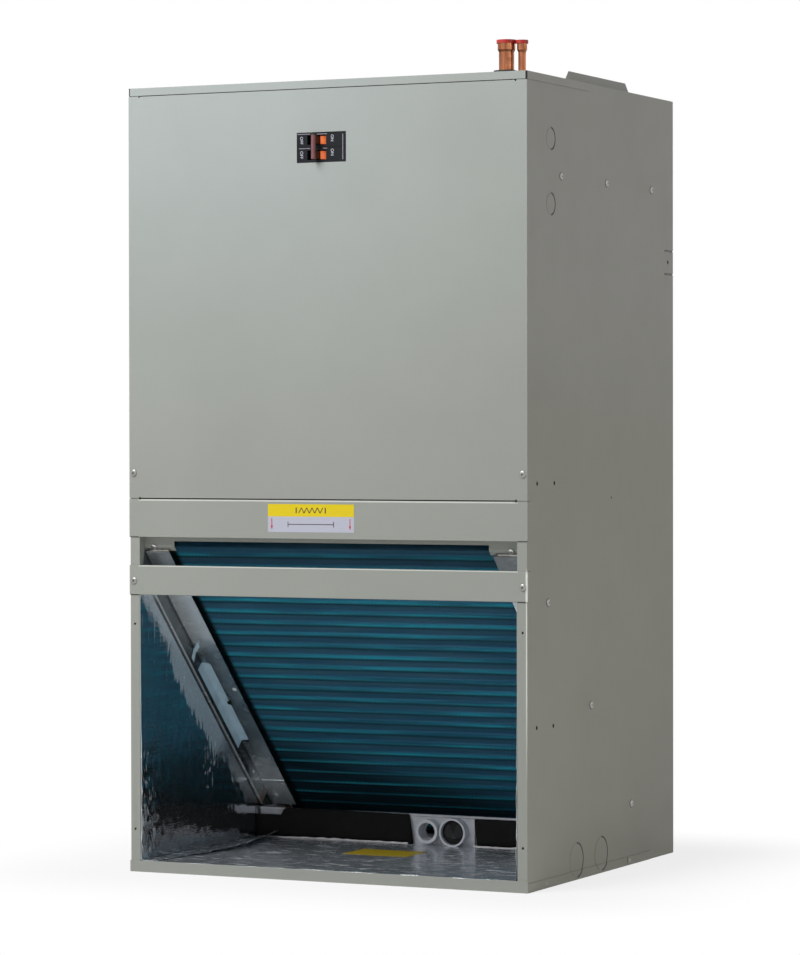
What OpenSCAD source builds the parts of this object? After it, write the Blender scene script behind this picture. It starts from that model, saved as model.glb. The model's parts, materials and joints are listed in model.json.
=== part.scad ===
// Upright front-return air handler: slanted evaporator coil below, direct-drive blower above it,
// electric heat section under the supply opening. Millimetres, +Z up, +Y towards the back.
// The origin is at the middle of the footprint, on the surface that the cabinet stands on.

/* [Cabinet] */
// Width over the wrapped front panels
cab_w = 559; // [540:1:620]
// Depth from the front face to the back face
cab_d = 492; // [485:1:540]
// Height of the cabinet without the duct flanges
cab_h = 1008; // [1000:1:1060]
// Sheet metal thickness
sheet = 1; // [0.8:0.1:1.2]
// Width of the side panels' front flanges, measured from the outer face
post_w = 14.5; // [12:0.5:20]
// Depth of the inward returns behind the front flanges
post_return = 13; // [11:0.5:14]
// Height of the bottom rail
rail_h = 14.5; // [14:0.5:18]
// Depth along which the base pan's side flange covers the side panels
base_lap = 405; // [380:1:440]
// Height of the base pan's side flange
base_flange_h = 11.5; // [9:0.5:13]
// Depth of the wrapped side returns of the front panels
wrap = 12; // [8:0.5:16]
// Open seam between neighbouring front panels
seam = 0.8; // [0.4:0.1:1.5]
// Thickness of the foil-faced insulation
liner = 12.5; // [10:0.5:13]

/* [Front panels] */
// Depth behind the foot of a 45-degree slope that starts at the bar's bottom edge
slope_room = 135; // [125:1:150]
// Height of the retainer bar
bar_h = 38; // [30:1:40]
// Clear height of the filter slot at the front face
slot_h = 36.5; // [35:0.5:40]
// Height of the filter strip panel
strip_h = 49.5; // [40:0.5:60]
// Height of the top panel's front flange
cap_h = 10.5; // [8:0.5:14]
// Width of the breaker window
window_w = 68.8; // [60:0.1:72]
// Height of the breaker window
window_h = 38; // [37.4:0.1:40]
// Distance from the cabinet's top down to the breaker window's centre
window_drop = 84.5; // [68:0.5:93]
// Offset of the breaker window's centre to the left
window_x = 2; // [0:0.5:5]
// Diameter of the holes in the front flanges
post_hole_d = 3; // [2:0.5:5]
// Height of the lower pair of holes in the front flanges
post_hole_z = 55; // [40:1:80]
// Height between the two pairs of holes
post_hole_rise = 264.5; // [240:0.5:275]

/* [Top] */
// Depth along which the top panel's skirts cover the side panels
skirt_d = 200; // [150:1:240]
// Distance of the supply opening from the cabinet's sides
supply_margin = 20.5; // [19:0.5:40]
// Depth of the supply opening
supply_d = 220; // [180:1:240]
// Distance from the front face to the supply opening
supply_y = 163; // [160:1:200]
// Height of the duct flanges
flange_h = 15; // [10:0.5:20]

/* [Refrigerant lines] */
// Outer diameter of the suction stub
suction_d = 19; // [15.9:0.1:19.1]
// Outer diameter of the liquid stub
liquid_d = 9.5; // [6.3:0.1:9.6]
// Tube wall
tube_wall = 1; // [0.8:0.1:1.2]
// Distance of both stubs from the front face
stub_y = 45; // [40:1:55]
// Distance of the suction stub from the cabinet's right side
suction_inset = 47.2; // [45.5:0.1:59]
// Spacing of the two stubs
stub_gap = 21; // [21:0.5:23]
// Height of the suction stub's mouth above the top panel
suction_rise = 41; // [30:0.5:60]
// Height of the liquid stub's mouth above the top panel
liquid_rise = 40; // [30:0.5:60]
// Length of the swaged bells
bell_h = 13; // [10:0.5:20]
// Height of a shipping cap's lip round the bell
cap_lip = 2.2; // [1.6:0.2:8]

/* [Coil] */
// Spacing of the tubes along the slanted face
tube_pitch = 21.4; // [20.5:0.1:21.4]
// Spacing of the rows
row_pitch = 12.7; // [11:0.1:13.5]
// Number of rows
rows = 3; // [2:1:3]
// Outer diameter of the coil tubes
coil_tube_d = 7; // [5:0.5:8]
// Room between the fins and the left insulation, for the return bends
bend_room = 22; // [22:1:27]
// Room between the fins and the right insulation, for the header
header_room = 29; // [27:1:35]
// Depth of the fins' corrugation
fin_wave = 1.3; // [0.5:0.1:2]
// Distance between the filter rail's upper plate and the coil face
coil_clear = 7.5; // [6:0.5:9]
// Thickness of the coil's end plates
plate_t = 1.5; // [1:0.1:2]
// Thickness that the filter rails leave for the filter
filter_t = 20.5; // [19:0.5:24]
// Width of the filter rail's upper plate
rail_plate_w = 37; // [25:1:40]
// Width of the filter rail's lower lip
rail_lip_w = 2.5; // [1.5:0.5:14]
// Height of the filter rail's foot above the drain pan's rim
rail_gap = 0.5; // [0.4:0.1:4]
// Distance from the plate's lower end up to the end of the web and lip
rail_step = 24; // [20:1:40]

/* [Drain pan] */
// Distance from the pan's front wall to the back face
pan_depth = 162; // [154:1:170]
// Height of the pan's rim above the floor insulation
pan_h = 40.5; // [38:0.5:40.5]
// Thickness of the foam strips on the pan's front wall
foam_t = 5; // [3:0.5:8]
// Pan wall thickness
pan_t = 3; // [2:0.5:4]
// Outer diameter of the open drain port
port_d = 32; // [30:0.5:34]
// Outer diameter of the plugged drain port
plug_port_d = 38; // [36:0.5:38]
// Bore of the open drain port
port_bore = 24; // [20:0.5:26]
// Spacing of the two ports
port_gap = 37.3; // [36:0.1:40]
// Reach of the ports in front of the pan
port_len = 14; // [8:1:20]

/* [Blower] */
// Outer diameter of the blower wheel
wheel_d = 254; // [240:1:256]
// Width of the blower wheel
wheel_w = 200; // [180:1:206]
// Number of blades on the wheel
blades = 40; // [32:1:44]
// Radial depth of the blades
blade_depth = 21; // [16:1:24]
// Clear width inside the blower housing
housing_w = 234; // [228:1:240]
// Distance of the wheel's axis from the front face
wheel_y = 180; // [178:1:186]
// Distance from the blower deck down to the wheel's axis
wheel_drop = 188; // [178:1:198]
// Radius of the housing's scroll where it runs into the outlet
scroll_out = 205; // [195:1:206]
// Smallest gap between the wheel and the scroll
cutoff_gap = 9; // [7:0.5:12]
// Distance from the cabinet's top down to the blower deck
deck_drop = 130; // [124:1:138]
// Diameter of the motor
motor_d = 132; // [120:1:140]
// Length of the motor
motor_len = 120; // [100:1:126]
// Diameter of the motor shaft
shaft_d = 12.7; // [12:0.1:14]
// Radial running clearance of the shaft
shaft_clear = 0.05; // [0.02:0.01:0.1]

/* [Electric section] */
// Distance of the partition behind the controls from the front face
partition_y = 128; // [126:1:130]
// Diameter of the sheathed heater elements
element_d = 7; // [6:0.5:8]
// Number of hairpin elements side by side
elements = 6; // [4:1:7]
// Depth of the breaker body
breaker_d = 60; // [50:1:70]
// Distance of the breaker face behind the panel's front face
breaker_in = 1; // [0:0.5:3]
// Distance of the handles' pivot behind the front face
pivot_in = 15.6; // [14:0.1:17]
// Distance of the handles' pivot to the left of the window's centre
pivot_x = 7; // [5:0.5:9]
// Length of the handles from the pivot to the tie bar
handle_r = 23.6; // [22:0.1:27]
// Swing of the handles to each side of their tripped place
handle_swing = 25; // [15:1:27]
// Diameter of the tie bar
tie_d = 6; // [5:0.5:7]

/* [Hidden] */
$fn = 48;

PAINT = [0.60, 0.62, 0.58];
GALV = [0.62, 0.65, 0.68];
FOIL = [0.70, 0.74, 0.78];
FIN = [0.05, 0.35, 0.45];
COPPER = [0.76, 0.44, 0.26];
BLACK = [0.06, 0.06, 0.06];

// The tie bar is the foremost point, and it sets where the front face lies
handle_reach = handle_r + tie_d / 2 - pivot_in;
front_y = -(cab_d - handle_reach) / 2;

half_w = cab_w / 2;
side_x = half_w - sheet;
inner_x = side_x - sheet;
post_x = half_w - post_w;
liner_x = inner_x - liner;
seam_x = post_x - sheet;
bar_z = cab_d - slope_room;
slot_z = bar_z + bar_h;
strip_z = slot_z + slot_h;
upper_z = strip_z + strip_h;
cap_z = cab_h - cap_h;
window_z = cab_h - window_drop;
deck_z = cab_h - deck_drop;
wheel_z = deck_z - wheel_drop;
floor_z = sheet + liner;
supply_w = cab_w - 2 * supply_margin;
back_y = cab_d - sheet;
liner_y = back_y - sheet;
back_liner_y = liner_y - liner;

// The slope starts at the front face, at the bottom of the filter slot: s runs down and back,
// n runs up and back
function slope_y(s, n) = (s + n) / sqrt(2);
function slope_z(s, n) = slot_z + (n - s) / sqrt(2);
pan_y = cab_d - pan_depth;
pan_top = floor_z + pan_h;
pan_floor = floor_z + pan_t;
rail_len = filter_t - sheet + (slot_z - pan_top - rail_gap) * sqrt(2);
coil_n = filter_t + sheet + coil_clear;
coil_t = rows * row_pitch;
coil_s = -3.5;
fins_left = liner_x - bend_room;
fins_right = liner_x - header_room;
foot_clear = 8;
slope_len = (slot_z - pan_floor) * sqrt(2) + coil_n - foot_clear - coil_s;
tubes_per_row = 2 * floor(slope_len / tube_pitch / 2);
coil_len = tubes_per_row * tube_pitch;
function row_n(k) = coil_n + (k + 0.5) * row_pitch;
function tube_s(k) = coil_s + (k + 0.5) * tube_pitch;

suction_x = half_w - suction_inset;
liquid_x = suction_x + stub_gap;
header_x = fins_right + plate_t + 15.5;

scroll_cut = wheel_d / 2 + cutoff_gap;
scroll_turn = 250;
function scroll_r(a) = scroll_out - (scroll_out - scroll_cut) * a / scroll_turn;
outlet_y0 = wheel_y + scroll_cut * cos(scroll_turn);
outlet_y1 = wheel_y + scroll_out;
hub_x = -45;
motor_x = -28;
motor_r = motor_d / 2;
shaft_r = shaft_d / 2;

breaker_z = window_z - window_h / 2;
breaker_x = -window_x;

// A box between two opposite corners
module box(lo, hi) {
  translate(lo) cube(hi - lo);
}

// Measured from the front face, as every size along Y is
module at_front() {
  translate([0, front_y, 0]) children();
}

module mirrored() {
  mirror([1, 0, 0]) children();
}

// A flat outline given as points in Y and Z, made t thick from x towards the right
module plate_yz(x, t, points) {
  translate([x, 0, 0]) rotate([90, 0, 90]) linear_extrude(t) polygon(points);
}

// The outline of a stretch of the slope, between two distances along it and two heights over it
function slope_rect(s0, s1, n0, n1) = [
  for (c = [[s0, n0], [s1, n0], [s1, n1], [s0, n1]]) [slope_y(c[0], c[1]), slope_z(c[0], c[1])]
];

// Measured along X, down the slope and out from it
module on_slope() {
  translate([0, 0, slot_z]) rotate([-45, 0, 0]) children();
}

// A cylinder along X
module rod_x(x0, x1, r) {
  translate([x0, 0, 0]) rotate([0, 90, 0]) cylinder(r = r, h = x1 - x0);
}

// A cylinder between two points
module rod(a, b, r) {
  d = b - a;
  length = norm(d);
  translate(a) rotate([0, acos(d[2] / length), atan2(d[1], d[0])]) cylinder(r = r, h = length);
}

// A round bar through a list of points, with a slightly swollen brazed joint at each bend
module bar_path(points, r) {
  for (i = [0:len(points) - 2]) rod(points[i], points[i + 1], r);
  for (i = [1:len(points) - 2]) translate(points[i]) sphere(r = r * 1.06);
}

// A ring groove of a knockout, cut to half the sheet's thickness from its outer face at x
module knockout(x, y, z, r) {
  translate([x, y, z]) rotate([0, 90, 0]) difference() {
    translate([0, 0, -sheet / 2]) cylinder(r = r, h = 2 * sheet);
    translate([0, 0, -sheet]) cylinder(r = r - 0.9, h = 4 * sheet);
  }
}

wire_knockout_r = 14;
wire_knockout_y = 76;
wire_knockout_z = [cab_h - 159, cab_h - 78];
drain_knockout_r = 22;
drain_knockout_y = [156.5, 237.5];
drain_knockout_z = 25;
hanger_z = [cab_h - 232, cab_h - 201];
hanger_len = 30;
hanger_slit = 1.4;
side_holes = [[32, 502], [86, 502], [30, 201], [82, 200], [273, 481], [cab_d - 19, cab_h - 216]];
side_hole_d = 3.4;
back_flange = 15;

// The side panel: outer sheet, front flange with its return, back flange and top flange
module side_sheet() {
  difference() {
    union() {
      box([inner_x, sheet, sheet], [side_x, cab_d, cab_h - sheet]);
      box([inner_x, skirt_d, cab_h - 2 * sheet], [side_x, cab_d, cab_h]);
      box([post_x, sheet, sheet], [side_x, 2 * sheet, cab_h - sheet]);
      box([post_x, sheet, sheet], [post_x + sheet, sheet + post_return, cab_h - sheet]);
      box([inner_x - back_flange, liner_y, sheet], [side_x, back_y, cab_h - sheet]);
      box([post_x, 2 * sheet, cab_h - 2 * sheet], [side_x, back_y, cab_h - sheet]);
    }
    for (z = [post_hole_z, post_hole_z + post_hole_rise])
      translate([(post_x + side_x) / 2 + sheet / 2, 0, z]) rotate([-90, 0, 0])
        cylinder(d = post_hole_d, h = 3 * sheet);
    for (p = side_holes)
      translate([0, p[0], p[1]]) rod_x(inner_x - sheet, half_w, side_hole_d / 2);
    for (z = hanger_z)
      box([inner_x - sheet, cab_d - hanger_len, z - hanger_slit / 2],
          [half_w, cab_d + sheet, z + hanger_slit / 2]);
    for (z = wire_knockout_z) knockout(side_x, wire_knockout_y, z, wire_knockout_r);
    for (y = drain_knockout_y) knockout(side_x, y, drain_knockout_z, drain_knockout_r);
  }
}

module left_side_panel() {
  color(PAINT) at_front() mirrored() side_sheet();
}

module right_side_panel() {
  color(PAINT) at_front() side_sheet();
}

module back_panel() {
  color(PAINT) at_front() union() {
    box([-inner_x, back_y, sheet], [inner_x, cab_d, cab_h - sheet]);
    box([back_flange - inner_x, back_y - 14, cab_h - 3 * sheet],
        [inner_x - back_flange, back_y, cab_h - 2 * sheet]);
  }
}

// One duct flange with its ends cut at 45 degrees, standing on the edge of the supply opening
module duct_flange(length) {
  rotate([90, 0, 0]) translate([0, 0, -sheet]) linear_extrude(sheet)
    polygon([[-length / 2, 0], [length / 2, 0], [length / 2 - flange_h, flange_h],
             [flange_h - length / 2, flange_h]]);
}

module top_panel() {
  relief = 1.2;
  supply_mid = supply_y + supply_d / 2;
  color(PAINT) at_front() difference() {
    union() {
      box([-half_w, 0, cab_h - sheet], [half_w, skirt_d, cab_h]);
      box([-inner_x, 0, cab_h - sheet], [inner_x, cab_d, cab_h]);
      box([-half_w, 0, cap_z + seam / 2], [half_w, sheet, cab_h]);
      for (side = [-1, 1]) {
        translate([side * (half_w - sheet / 2), skirt_d / 2, (cap_z + cab_h + seam / 2) / 2])
          cube([sheet, skirt_d, cap_h - seam / 2], center = true);
        translate([side * supply_w / 2, supply_mid, cab_h]) rotate([0, 0, side * -90])
          duct_flange(supply_d);
      }
      translate([0, supply_y + supply_d, cab_h]) duct_flange(supply_w);
    }
    box([-supply_w / 2, supply_y, cab_h - 2 * sheet],
        [supply_w / 2, supply_y + supply_d, cab_h + sheet]);
    // The open corners between the front flange and the skirts
    for (side = [-1, 1])
      translate([side * half_w, 0, cab_h - sheet - cap_h / 2])
        cube([2 * relief, 2 * relief, cap_h], center = true);
    translate([suction_x, stub_y, cab_h - 2 * sheet]) cylinder(d = suction_hole_d, h = 4 * sheet);
    translate([liquid_x, stub_y, cab_h - 2 * sheet]) cylinder(d = liquid_hole_d, h = 4 * sheet);
  }
}

base_tab = 80;

module base_pan() {
  color(PAINT) at_front() difference() {
    union() {
      box([-half_w, 0, 0], [half_w, base_lap, sheet]);
      box([-side_x, 0, 0], [side_x, cab_d, sheet]);
      box([-half_w, 0, 0], [half_w, sheet, rail_h]);
      for (side = [-1, 1]) {
        translate([side * (half_w - sheet / 2), base_lap / 2, base_flange_h / 2])
          cube([sheet, base_lap, base_flange_h], center = true);
        translate([side * (half_w - sheet / 2), sheet, rail_h / 2])
          cube([sheet, 2 * sheet, rail_h], center = true);
      }
    }
    for (y = drain_knockout_y) {
      knockout(half_w, y, drain_knockout_z, drain_knockout_r);
      mirrored() knockout(half_w, y, drain_knockout_z, drain_knockout_r);
    }
    // The slit that frees the rear tab of each side flange
    for (side = [-1, 1])
      translate([side * half_w, base_lap - base_tab, base_flange_h / 2 + 2 * sheet])
        cube([4 * sheet, 1.6, base_flange_h], center = true);
  }
}

// A front panel that wraps round both corners, with flanges turned in along its top and bottom
module wrapped_panel(z0, z1) {
  union() {
    box([-half_w, 0, z0], [half_w, sheet, z1]);
    for (side = [-1, 1])
      translate([side * (half_w - sheet / 2), wrap / 2, (z0 + z1) / 2])
        cube([sheet, wrap, z1 - z0], center = true);
    for (z = [z0, z1 - sheet]) box([-seam_x, 0, z], [seam_x, wrap - 2 * sheet, z + sheet]);
  }
}

// The bend relief at each end of a front panel's turned-in flanges
module relief_notches(z) {
  for (side = [-1, 1])
    translate([side * seam_x, sheet, z]) cube([1.6, 4 * sheet, 3.2], center = true);
}

module upper_front_panel() {
  color(PAINT) at_front() difference() {
    wrapped_panel(upper_z + seam / 2, cap_z - seam / 2);
    relief_notches(upper_z + seam / 2);
    relief_notches(cap_z - seam / 2);
    box([breaker_x - window_w / 2, -sheet, window_z - window_h / 2],
        [breaker_x + window_w / 2, 2 * sheet, window_z + window_h / 2]);
  }
}

module filter_strip_panel() {
  color(PAINT) at_front() difference() {
    wrapped_panel(strip_z, upper_z - seam / 2);
    relief_notches(upper_z - seam / 2);
  }
}

module filter_retainer_bar() {
  color(PAINT) at_front() wrapped_panel(bar_z, slot_z);
}

deck_flange = 14;

// The deck under the heat section, with the blower's outlet and holes for both lines
module blower_deck() {
  color(GALV) at_front() difference() {
    union() {
      box([-inner_x, sheet + post_return, deck_z], [inner_x, liner_y, deck_z + sheet]);
      for (x = [-inner_x, inner_x - sheet])
        box([x, sheet + post_return, deck_z], [x + sheet, liner_y, deck_z + deck_flange]);
      box([-liner_x, sheet + post_return, deck_z],
          [liner_x, 2 * sheet + post_return, deck_z + deck_flange]);
    }
    box([-housing_w / 2, outlet_y0, deck_z - sheet], [housing_w / 2, outlet_y1, deck_z + 2 * sheet]);
    translate([suction_x, stub_y, deck_z - sheet]) cylinder(d = suction_d + 4, h = 4 * sheet);
    translate([liquid_x, stub_y, deck_z - sheet]) cylinder(d = liquid_d + 3, h = 4 * sheet);
  }
}

heater_slot_w = 100;
heater_slot_h = 60;
heater_z = (deck_z + cab_h) / 2 - 3;

// The wall between the controls and the heated air
module plenum_partition() {
  color(GALV) at_front() difference() {
    union() {
      box([-liner_x, partition_y, deck_z + sheet], [liner_x, partition_y + sheet, cab_h - sheet]);
      box([-liner_x, partition_y, deck_z + sheet], [liner_x, partition_y + 14, deck_z + 2 * sheet]);
      box([-liner_x, partition_y, cab_h - 2 * sheet], [liner_x, partition_y + 14, cab_h - sheet]);
    }
    translate([0, partition_y, heater_z])
      cube([heater_slot_w, 4 * sheet, heater_slot_h], center = true);
  }
}

// The insulation on one side wall, below the deck and again in the heated section
module side_insulation() {
  union() {
    box([liner_x, sheet + post_return + sheet, floor_z], [inner_x, liner_y, deck_z]);
    box([liner_x, partition_y, deck_z + deck_flange], [inner_x, liner_y, cab_h - 2 * sheet]);
  }
}

module left_liner() {
  color(FOIL) at_front() mirrored() side_insulation();
}

module right_liner() {
  color(FOIL) at_front() side_insulation();
}

module back_liner() {
  color(FOIL) at_front() union() {
    box([-liner_x, back_liner_y, floor_z], [liner_x, liner_y, deck_z]);
    box([-liner_x, back_liner_y, deck_z + sheet], [liner_x, liner_y, cab_h - 3 * sheet]);
  }
}

module floor_liner() {
  color(FOIL) at_front() union() {
    box([-post_x, sheet, sheet], [post_x, sheet + post_return, floor_z]);
    box([-inner_x, sheet + post_return, sheet], [inner_x, liner_y, floor_z]);
  }
}

// The rail behind the filter slot: cut higher over the coil, with a screwed tab along the slope at
// each end
module coil_front_rail() {
  rail_y = sheet + post_return;
  rail_back = rail_y + sheet;
  tab_w = 43.5;
  tab_s = 1;
  tab_n = coil_n - 2;
  tab_back = tab_n + sheet;
  mid_z = slot_z + 31;
  rail_top = slot_z + 60;
  // The height of the slope at the depth y, n over it
  function fold_z(y, n) = slot_z + n * sqrt(2) - y;
  color(GALV) at_front() union() {
    box([-inner_x, rail_y, mid_z], [inner_x, rail_back, rail_top]);
    for (x = [-inner_x, liner_x])
      box([x, rail_y, fold_z(rail_y, tab_n)], [x + liner, rail_back, mid_z + sheet]);
    for (x = [-liner_x, liner_x - tab_w])
      plate_yz(x, tab_w, [
        [rail_y, mid_z + sheet], [rail_y, fold_z(rail_y, tab_n)],
        [slope_y(tab_s, tab_n), slope_z(tab_s, tab_n)],
        [slope_y(tab_s, tab_back), slope_z(tab_s, tab_back)],
        [rail_back, fold_z(rail_back, tab_back)], [rail_back, mid_z + sheet]
      ]);
    box([-liner_x, rail_y, rail_top - sheet], [fins_right, rail_y + 36, rail_top]);
  }
}

window_s0 = 211;
window_s1 = 373;
window_n = 8;
window_x_in = 14;
window_corner = 5;

// A filter rail: web against the liner with a hem that carries the filter, upper plate with an
// access window cut through the bend, and a foot plate with a lip over the drain pan
module filter_rail() {
  web_x = liner_x - sheet;
  web_len = rail_len - rail_step;
  foot_s = rail_len - 50;
  difference() {
    union() {
      plate_yz(web_x, sheet, [
        [slope_y(12, -sheet), slope_z(12, -sheet)],
        [slope_y(web_len, -sheet), slope_z(web_len, -sheet)],
        [slope_y(web_len, filter_t + sheet), slope_z(web_len, filter_t + sheet)],
        [slope_y(-3, filter_t + sheet), slope_z(-3, filter_t + sheet)]
      ]);
      plate_yz(liner_x - rail_lip_w, rail_lip_w, slope_rect(12, web_len, -sheet, 0));
      plate_yz(liner_x - rail_plate_w, rail_plate_w,
               slope_rect(-3, rail_len, filter_t, filter_t + sheet));
      plate_yz(liner_x - rail_plate_w, rail_plate_w - sheet,
               slope_rect(foot_s, rail_len, filter_t - sheet, filter_t));
    }
    on_slope() translate([0, 0, window_n]) linear_extrude(filter_t + 2 * sheet - window_n)
      offset(r = window_corner) offset(delta = -window_corner)
        translate([liner_x - window_x_in, window_s0])
          square([2 * window_x_in, window_s1 - window_s0]);
  }
}

module left_filter_rail() {
  color(GALV) at_front() mirrored() filter_rail();
}

module right_filter_rail() {
  color(GALV) at_front() filter_rail();
}

// The fin pack, with both faces corrugated at half the tube pitch
module coil_fins() {
  waves = 2 * tubes_per_row;
  step = coil_len / waves;
  function crest(i) = i % 2 == 0 ? fin_wave : 0;
  lower = [for (i = [0:2 * waves])
    [slope_y(coil_s + i * step / 2, coil_n + crest(i)),
     slope_z(coil_s + i * step / 2, coil_n + crest(i))]];
  upper = [for (i = [2 * waves:-1:0])
    [slope_y(coil_s + i * step / 2, coil_n + coil_t - crest(i)),
     slope_z(coil_s + i * step / 2, coil_n + coil_t - crest(i))]];
  color(FIN) at_front() plate_yz(-fins_left, fins_left + fins_right, concat(lower, upper));
}

// The return bend whose middle lies at s and n on the slope
module bend_at(x, s, n) {
  translate([x, slope_y(s, n), slope_z(s, n)]) rotate([-45, 0, 0]) rotate([0, 0, -90])
    rotate_extrude(angle = 180, $fn = 32) translate([tube_pitch / 2, 0]) circle(d = coil_tube_d);
}

module coil_bends() {
  left_face = -fins_left - plate_t;
  right_face = fins_right + plate_t;
  color(COPPER) at_front() union() {
    for (k = [0:rows - 1], i = [0:2:tubes_per_row - 2])
      translate([left_face, 0, 0]) mirrored()
        bend_at(0, (tube_s(i) + tube_s(i + 1)) / 2, row_n(k));
    for (i = [1:2:tubes_per_row - 3])
      bend_at(right_face, (tube_s(i) + tube_s(i + 1)) / 2, row_n(1));
  }
}

// A coil end plate with the foot that stands in the drain pan
module coil_plate(x) {
  foot_y = slope_y(coil_s + coil_len, coil_n) - 8;
  union() {
    plate_yz(x, plate_t, slope_rect(coil_s - 2, coil_s + coil_len + 2, coil_n - 0.8,
                                    coil_n + coil_t + 2));
    box([x, foot_y, pan_floor], [x + plate_t, foot_y + 42, pan_floor + 34]);
  }
}

module left_coil_plate() {
  color(GALV) at_front() coil_plate(-fins_left - plate_t);
}

module right_coil_plate() {
  color(GALV) at_front() coil_plate(fins_right);
}

circuits = 6;
circuit_step = floor(tubes_per_row / circuits);
function circuit_s(i) = tube_s(1 + i * circuit_step);
header_s0 = circuit_s(0) - coil_tube_d / 2 - 3;
header_r = suction_d / 2;

// The suction header along the air-entering row, with a stub from each circuit
module suction_header() {
  n = row_n(0);
  top = [header_x, slope_y(header_s0, n), slope_z(header_s0, n)];
  end_s = circuit_s(circuits - 1) + 20;
  color(COPPER) at_front() union() {
    rod(top, [header_x, slope_y(end_s, n), slope_z(end_s, n)], header_r);
    for (i = [0:circuits - 1])
      translate([0, slope_y(circuit_s(i), n), slope_z(circuit_s(i), n)])
        rod_x(fins_right + plate_t, header_x, coil_tube_d / 2);
  }
}

valve_pos = [fins_right + plate_t + 8.5, 95, slot_z + 205];
distributor_h = 40;
feeder_r = 2.4;

// The liquid distributor: a brass cone under the expansion valve
module distributor() {
  color([0.72, 0.58, 0.28]) at_front() translate(valve_pos - [0, 0, distributor_h]) union() {
    cylinder(r1 = 12, r2 = 7, h = distributor_h - 12);
    translate([0, 0, distributor_h - 12]) cylinder(r = 7, h = 12);
  }
}

// The feeder tubes from the distributor to the air-leaving row
module feeder_tubes() {
  n = row_n(rows - 1);
  start = valve_pos - [0, 0, distributor_h];
  color(COPPER) at_front() union() {
    for (i = [0:circuits - 1]) {
      s = circuit_s(i);
      a = 360 * i / circuits;
      bar_path([
        start + [8 * cos(a), 8 * sin(a), 0],
        start + [8 * cos(a), 8 * sin(a), -14],
        [valve_pos[0], slope_y(s, n + 18), slope_z(s, n + 18)],
        [valve_pos[0], slope_y(s, n), slope_z(s, n)],
        [fins_right + plate_t, slope_y(s, n), slope_z(s, n)]
      ], feeder_r);
    }
  }
}

valve_h = 44;

// The expansion valve: brass body, steel power head on its side
module expansion_valve() {
  color([0.72, 0.58, 0.28]) at_front() translate(valve_pos) union() {
    cylinder(r = 12, h = valve_h);
    translate([0, 0, valve_h / 2]) rotate([-90, 0, 0]) cylinder(r = 8, h = 22);
    translate([0, 22, valve_h / 2]) rotate([-90, 0, 0]) cylinder(r = 19, h = 9);
  }
}

// A copper line that ends in a swaged bell
module bell_end(d, wall) {
  bell_d = d + 3;
  difference() {
    union() {
      cylinder(d1 = d, d2 = bell_d, h = 3);
      translate([0, 0, 3]) cylinder(d = bell_d, h = bell_h - 3);
    }
    translate([0, 0, 3]) cylinder(d = bell_d - 2 * wall, h = bell_h);
  }
}

// The suction line: it leaves the header in line with it, then rises to the stub
module suction_line() {
  n = row_n(0);
  low = [header_x, slope_y(header_s0, n), slope_z(header_s0, n)];
  joint_run = header_r - 1;
  bell_z = cab_h + suction_rise - bell_h;
  color(COPPER) at_front() union() {
    bar_path([
      low,
      low + [0, -joint_run, joint_run],
      low + [0, -joint_run, 55],
      [suction_x, stub_y, low[2] + 105],
      [suction_x, stub_y, bell_z]
    ], header_r);
    translate([suction_x, stub_y, bell_z]) bell_end(suction_d, tube_wall);
  }
}

module liquid_line() {
  bell_z = cab_h + liquid_rise - bell_h;
  top = valve_pos + [0, 0, valve_h];
  color(COPPER) at_front() union() {
    bar_path([
      top,
      top + [0, 0, 50],
      [liquid_x, stub_y, top[2] + 110],
      [liquid_x, stub_y, bell_z]
    ], liquid_d / 2);
    translate([liquid_x, stub_y, bell_z]) bell_end(liquid_d, tube_wall);
  }
}

// A plastic shipping cap: a disc with a low lip round the bell, and a plug in the bell's bore
module shipping_cap(d) {
  bell_d = d + 3;
  clear = 0.3;
  plug_h = bell_h - 4;
  union() {
    difference() {
      translate([0, 0, -cap_lip]) cylinder(d = bell_d + 3, h = cap_lip);
      translate([0, 0, -2 * cap_lip]) cylinder(d = bell_d + 2 * clear, h = 3 * cap_lip);
    }
    cylinder(d = bell_d + 3, h = 2);
    translate([0, 0, -plug_h]) cylinder(d = bell_d - 2 * (tube_wall + clear), h = plug_h);
  }
}

module suction_cap() {
  color([0.72, 0.16, 0.14]) at_front()
    translate([suction_x, stub_y, cab_h + suction_rise]) shipping_cap(suction_d);
}

module liquid_cap() {
  color([0.72, 0.16, 0.14]) at_front()
    translate([liquid_x, stub_y, cab_h + liquid_rise]) shipping_cap(liquid_d);
}

grommet_clear = 0.3;
suction_hole_d = suction_d + 6;
liquid_hole_d = liquid_d + 3;

// A rubber grommet in the top panel: a rim above the sheet, a groove and a rim below
module grommet(d, hole_d, rim_d, rim_h) {
  difference() {
    union() {
      translate([0, 0, cab_h]) cylinder(d = rim_d, h = rim_h);
      translate([0, 0, cab_h - sheet]) cylinder(d = hole_d - 2 * grommet_clear, h = sheet);
      translate([0, 0, cab_h - sheet - 3]) cylinder(d = rim_d - 2, h = 3);
    }
    translate([0, 0, cab_h - 10]) cylinder(d = d + 2 * grommet_clear, h = 30);
  }
}

module suction_grommet() {
  color(BLACK) at_front() translate([suction_x, stub_y, 0]) difference() {
    grommet(suction_d, suction_hole_d, suction_d + 13, 5);
    translate([stub_gap - liquid_d / 2 - 3, -20, cab_h - 8]) cube([20, 40, 20]);
  }
}

module liquid_grommet() {
  color(BLACK) at_front() translate([liquid_x, stub_y, 0])
    grommet(liquid_d, liquid_hole_d, liquid_d + 5, 4);
}

drain_x = -3.8;
drain_z = floor_z + plug_port_d / 2 + 0.3;
pan_rim = 2.5;
fitting_t = 4;

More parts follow.
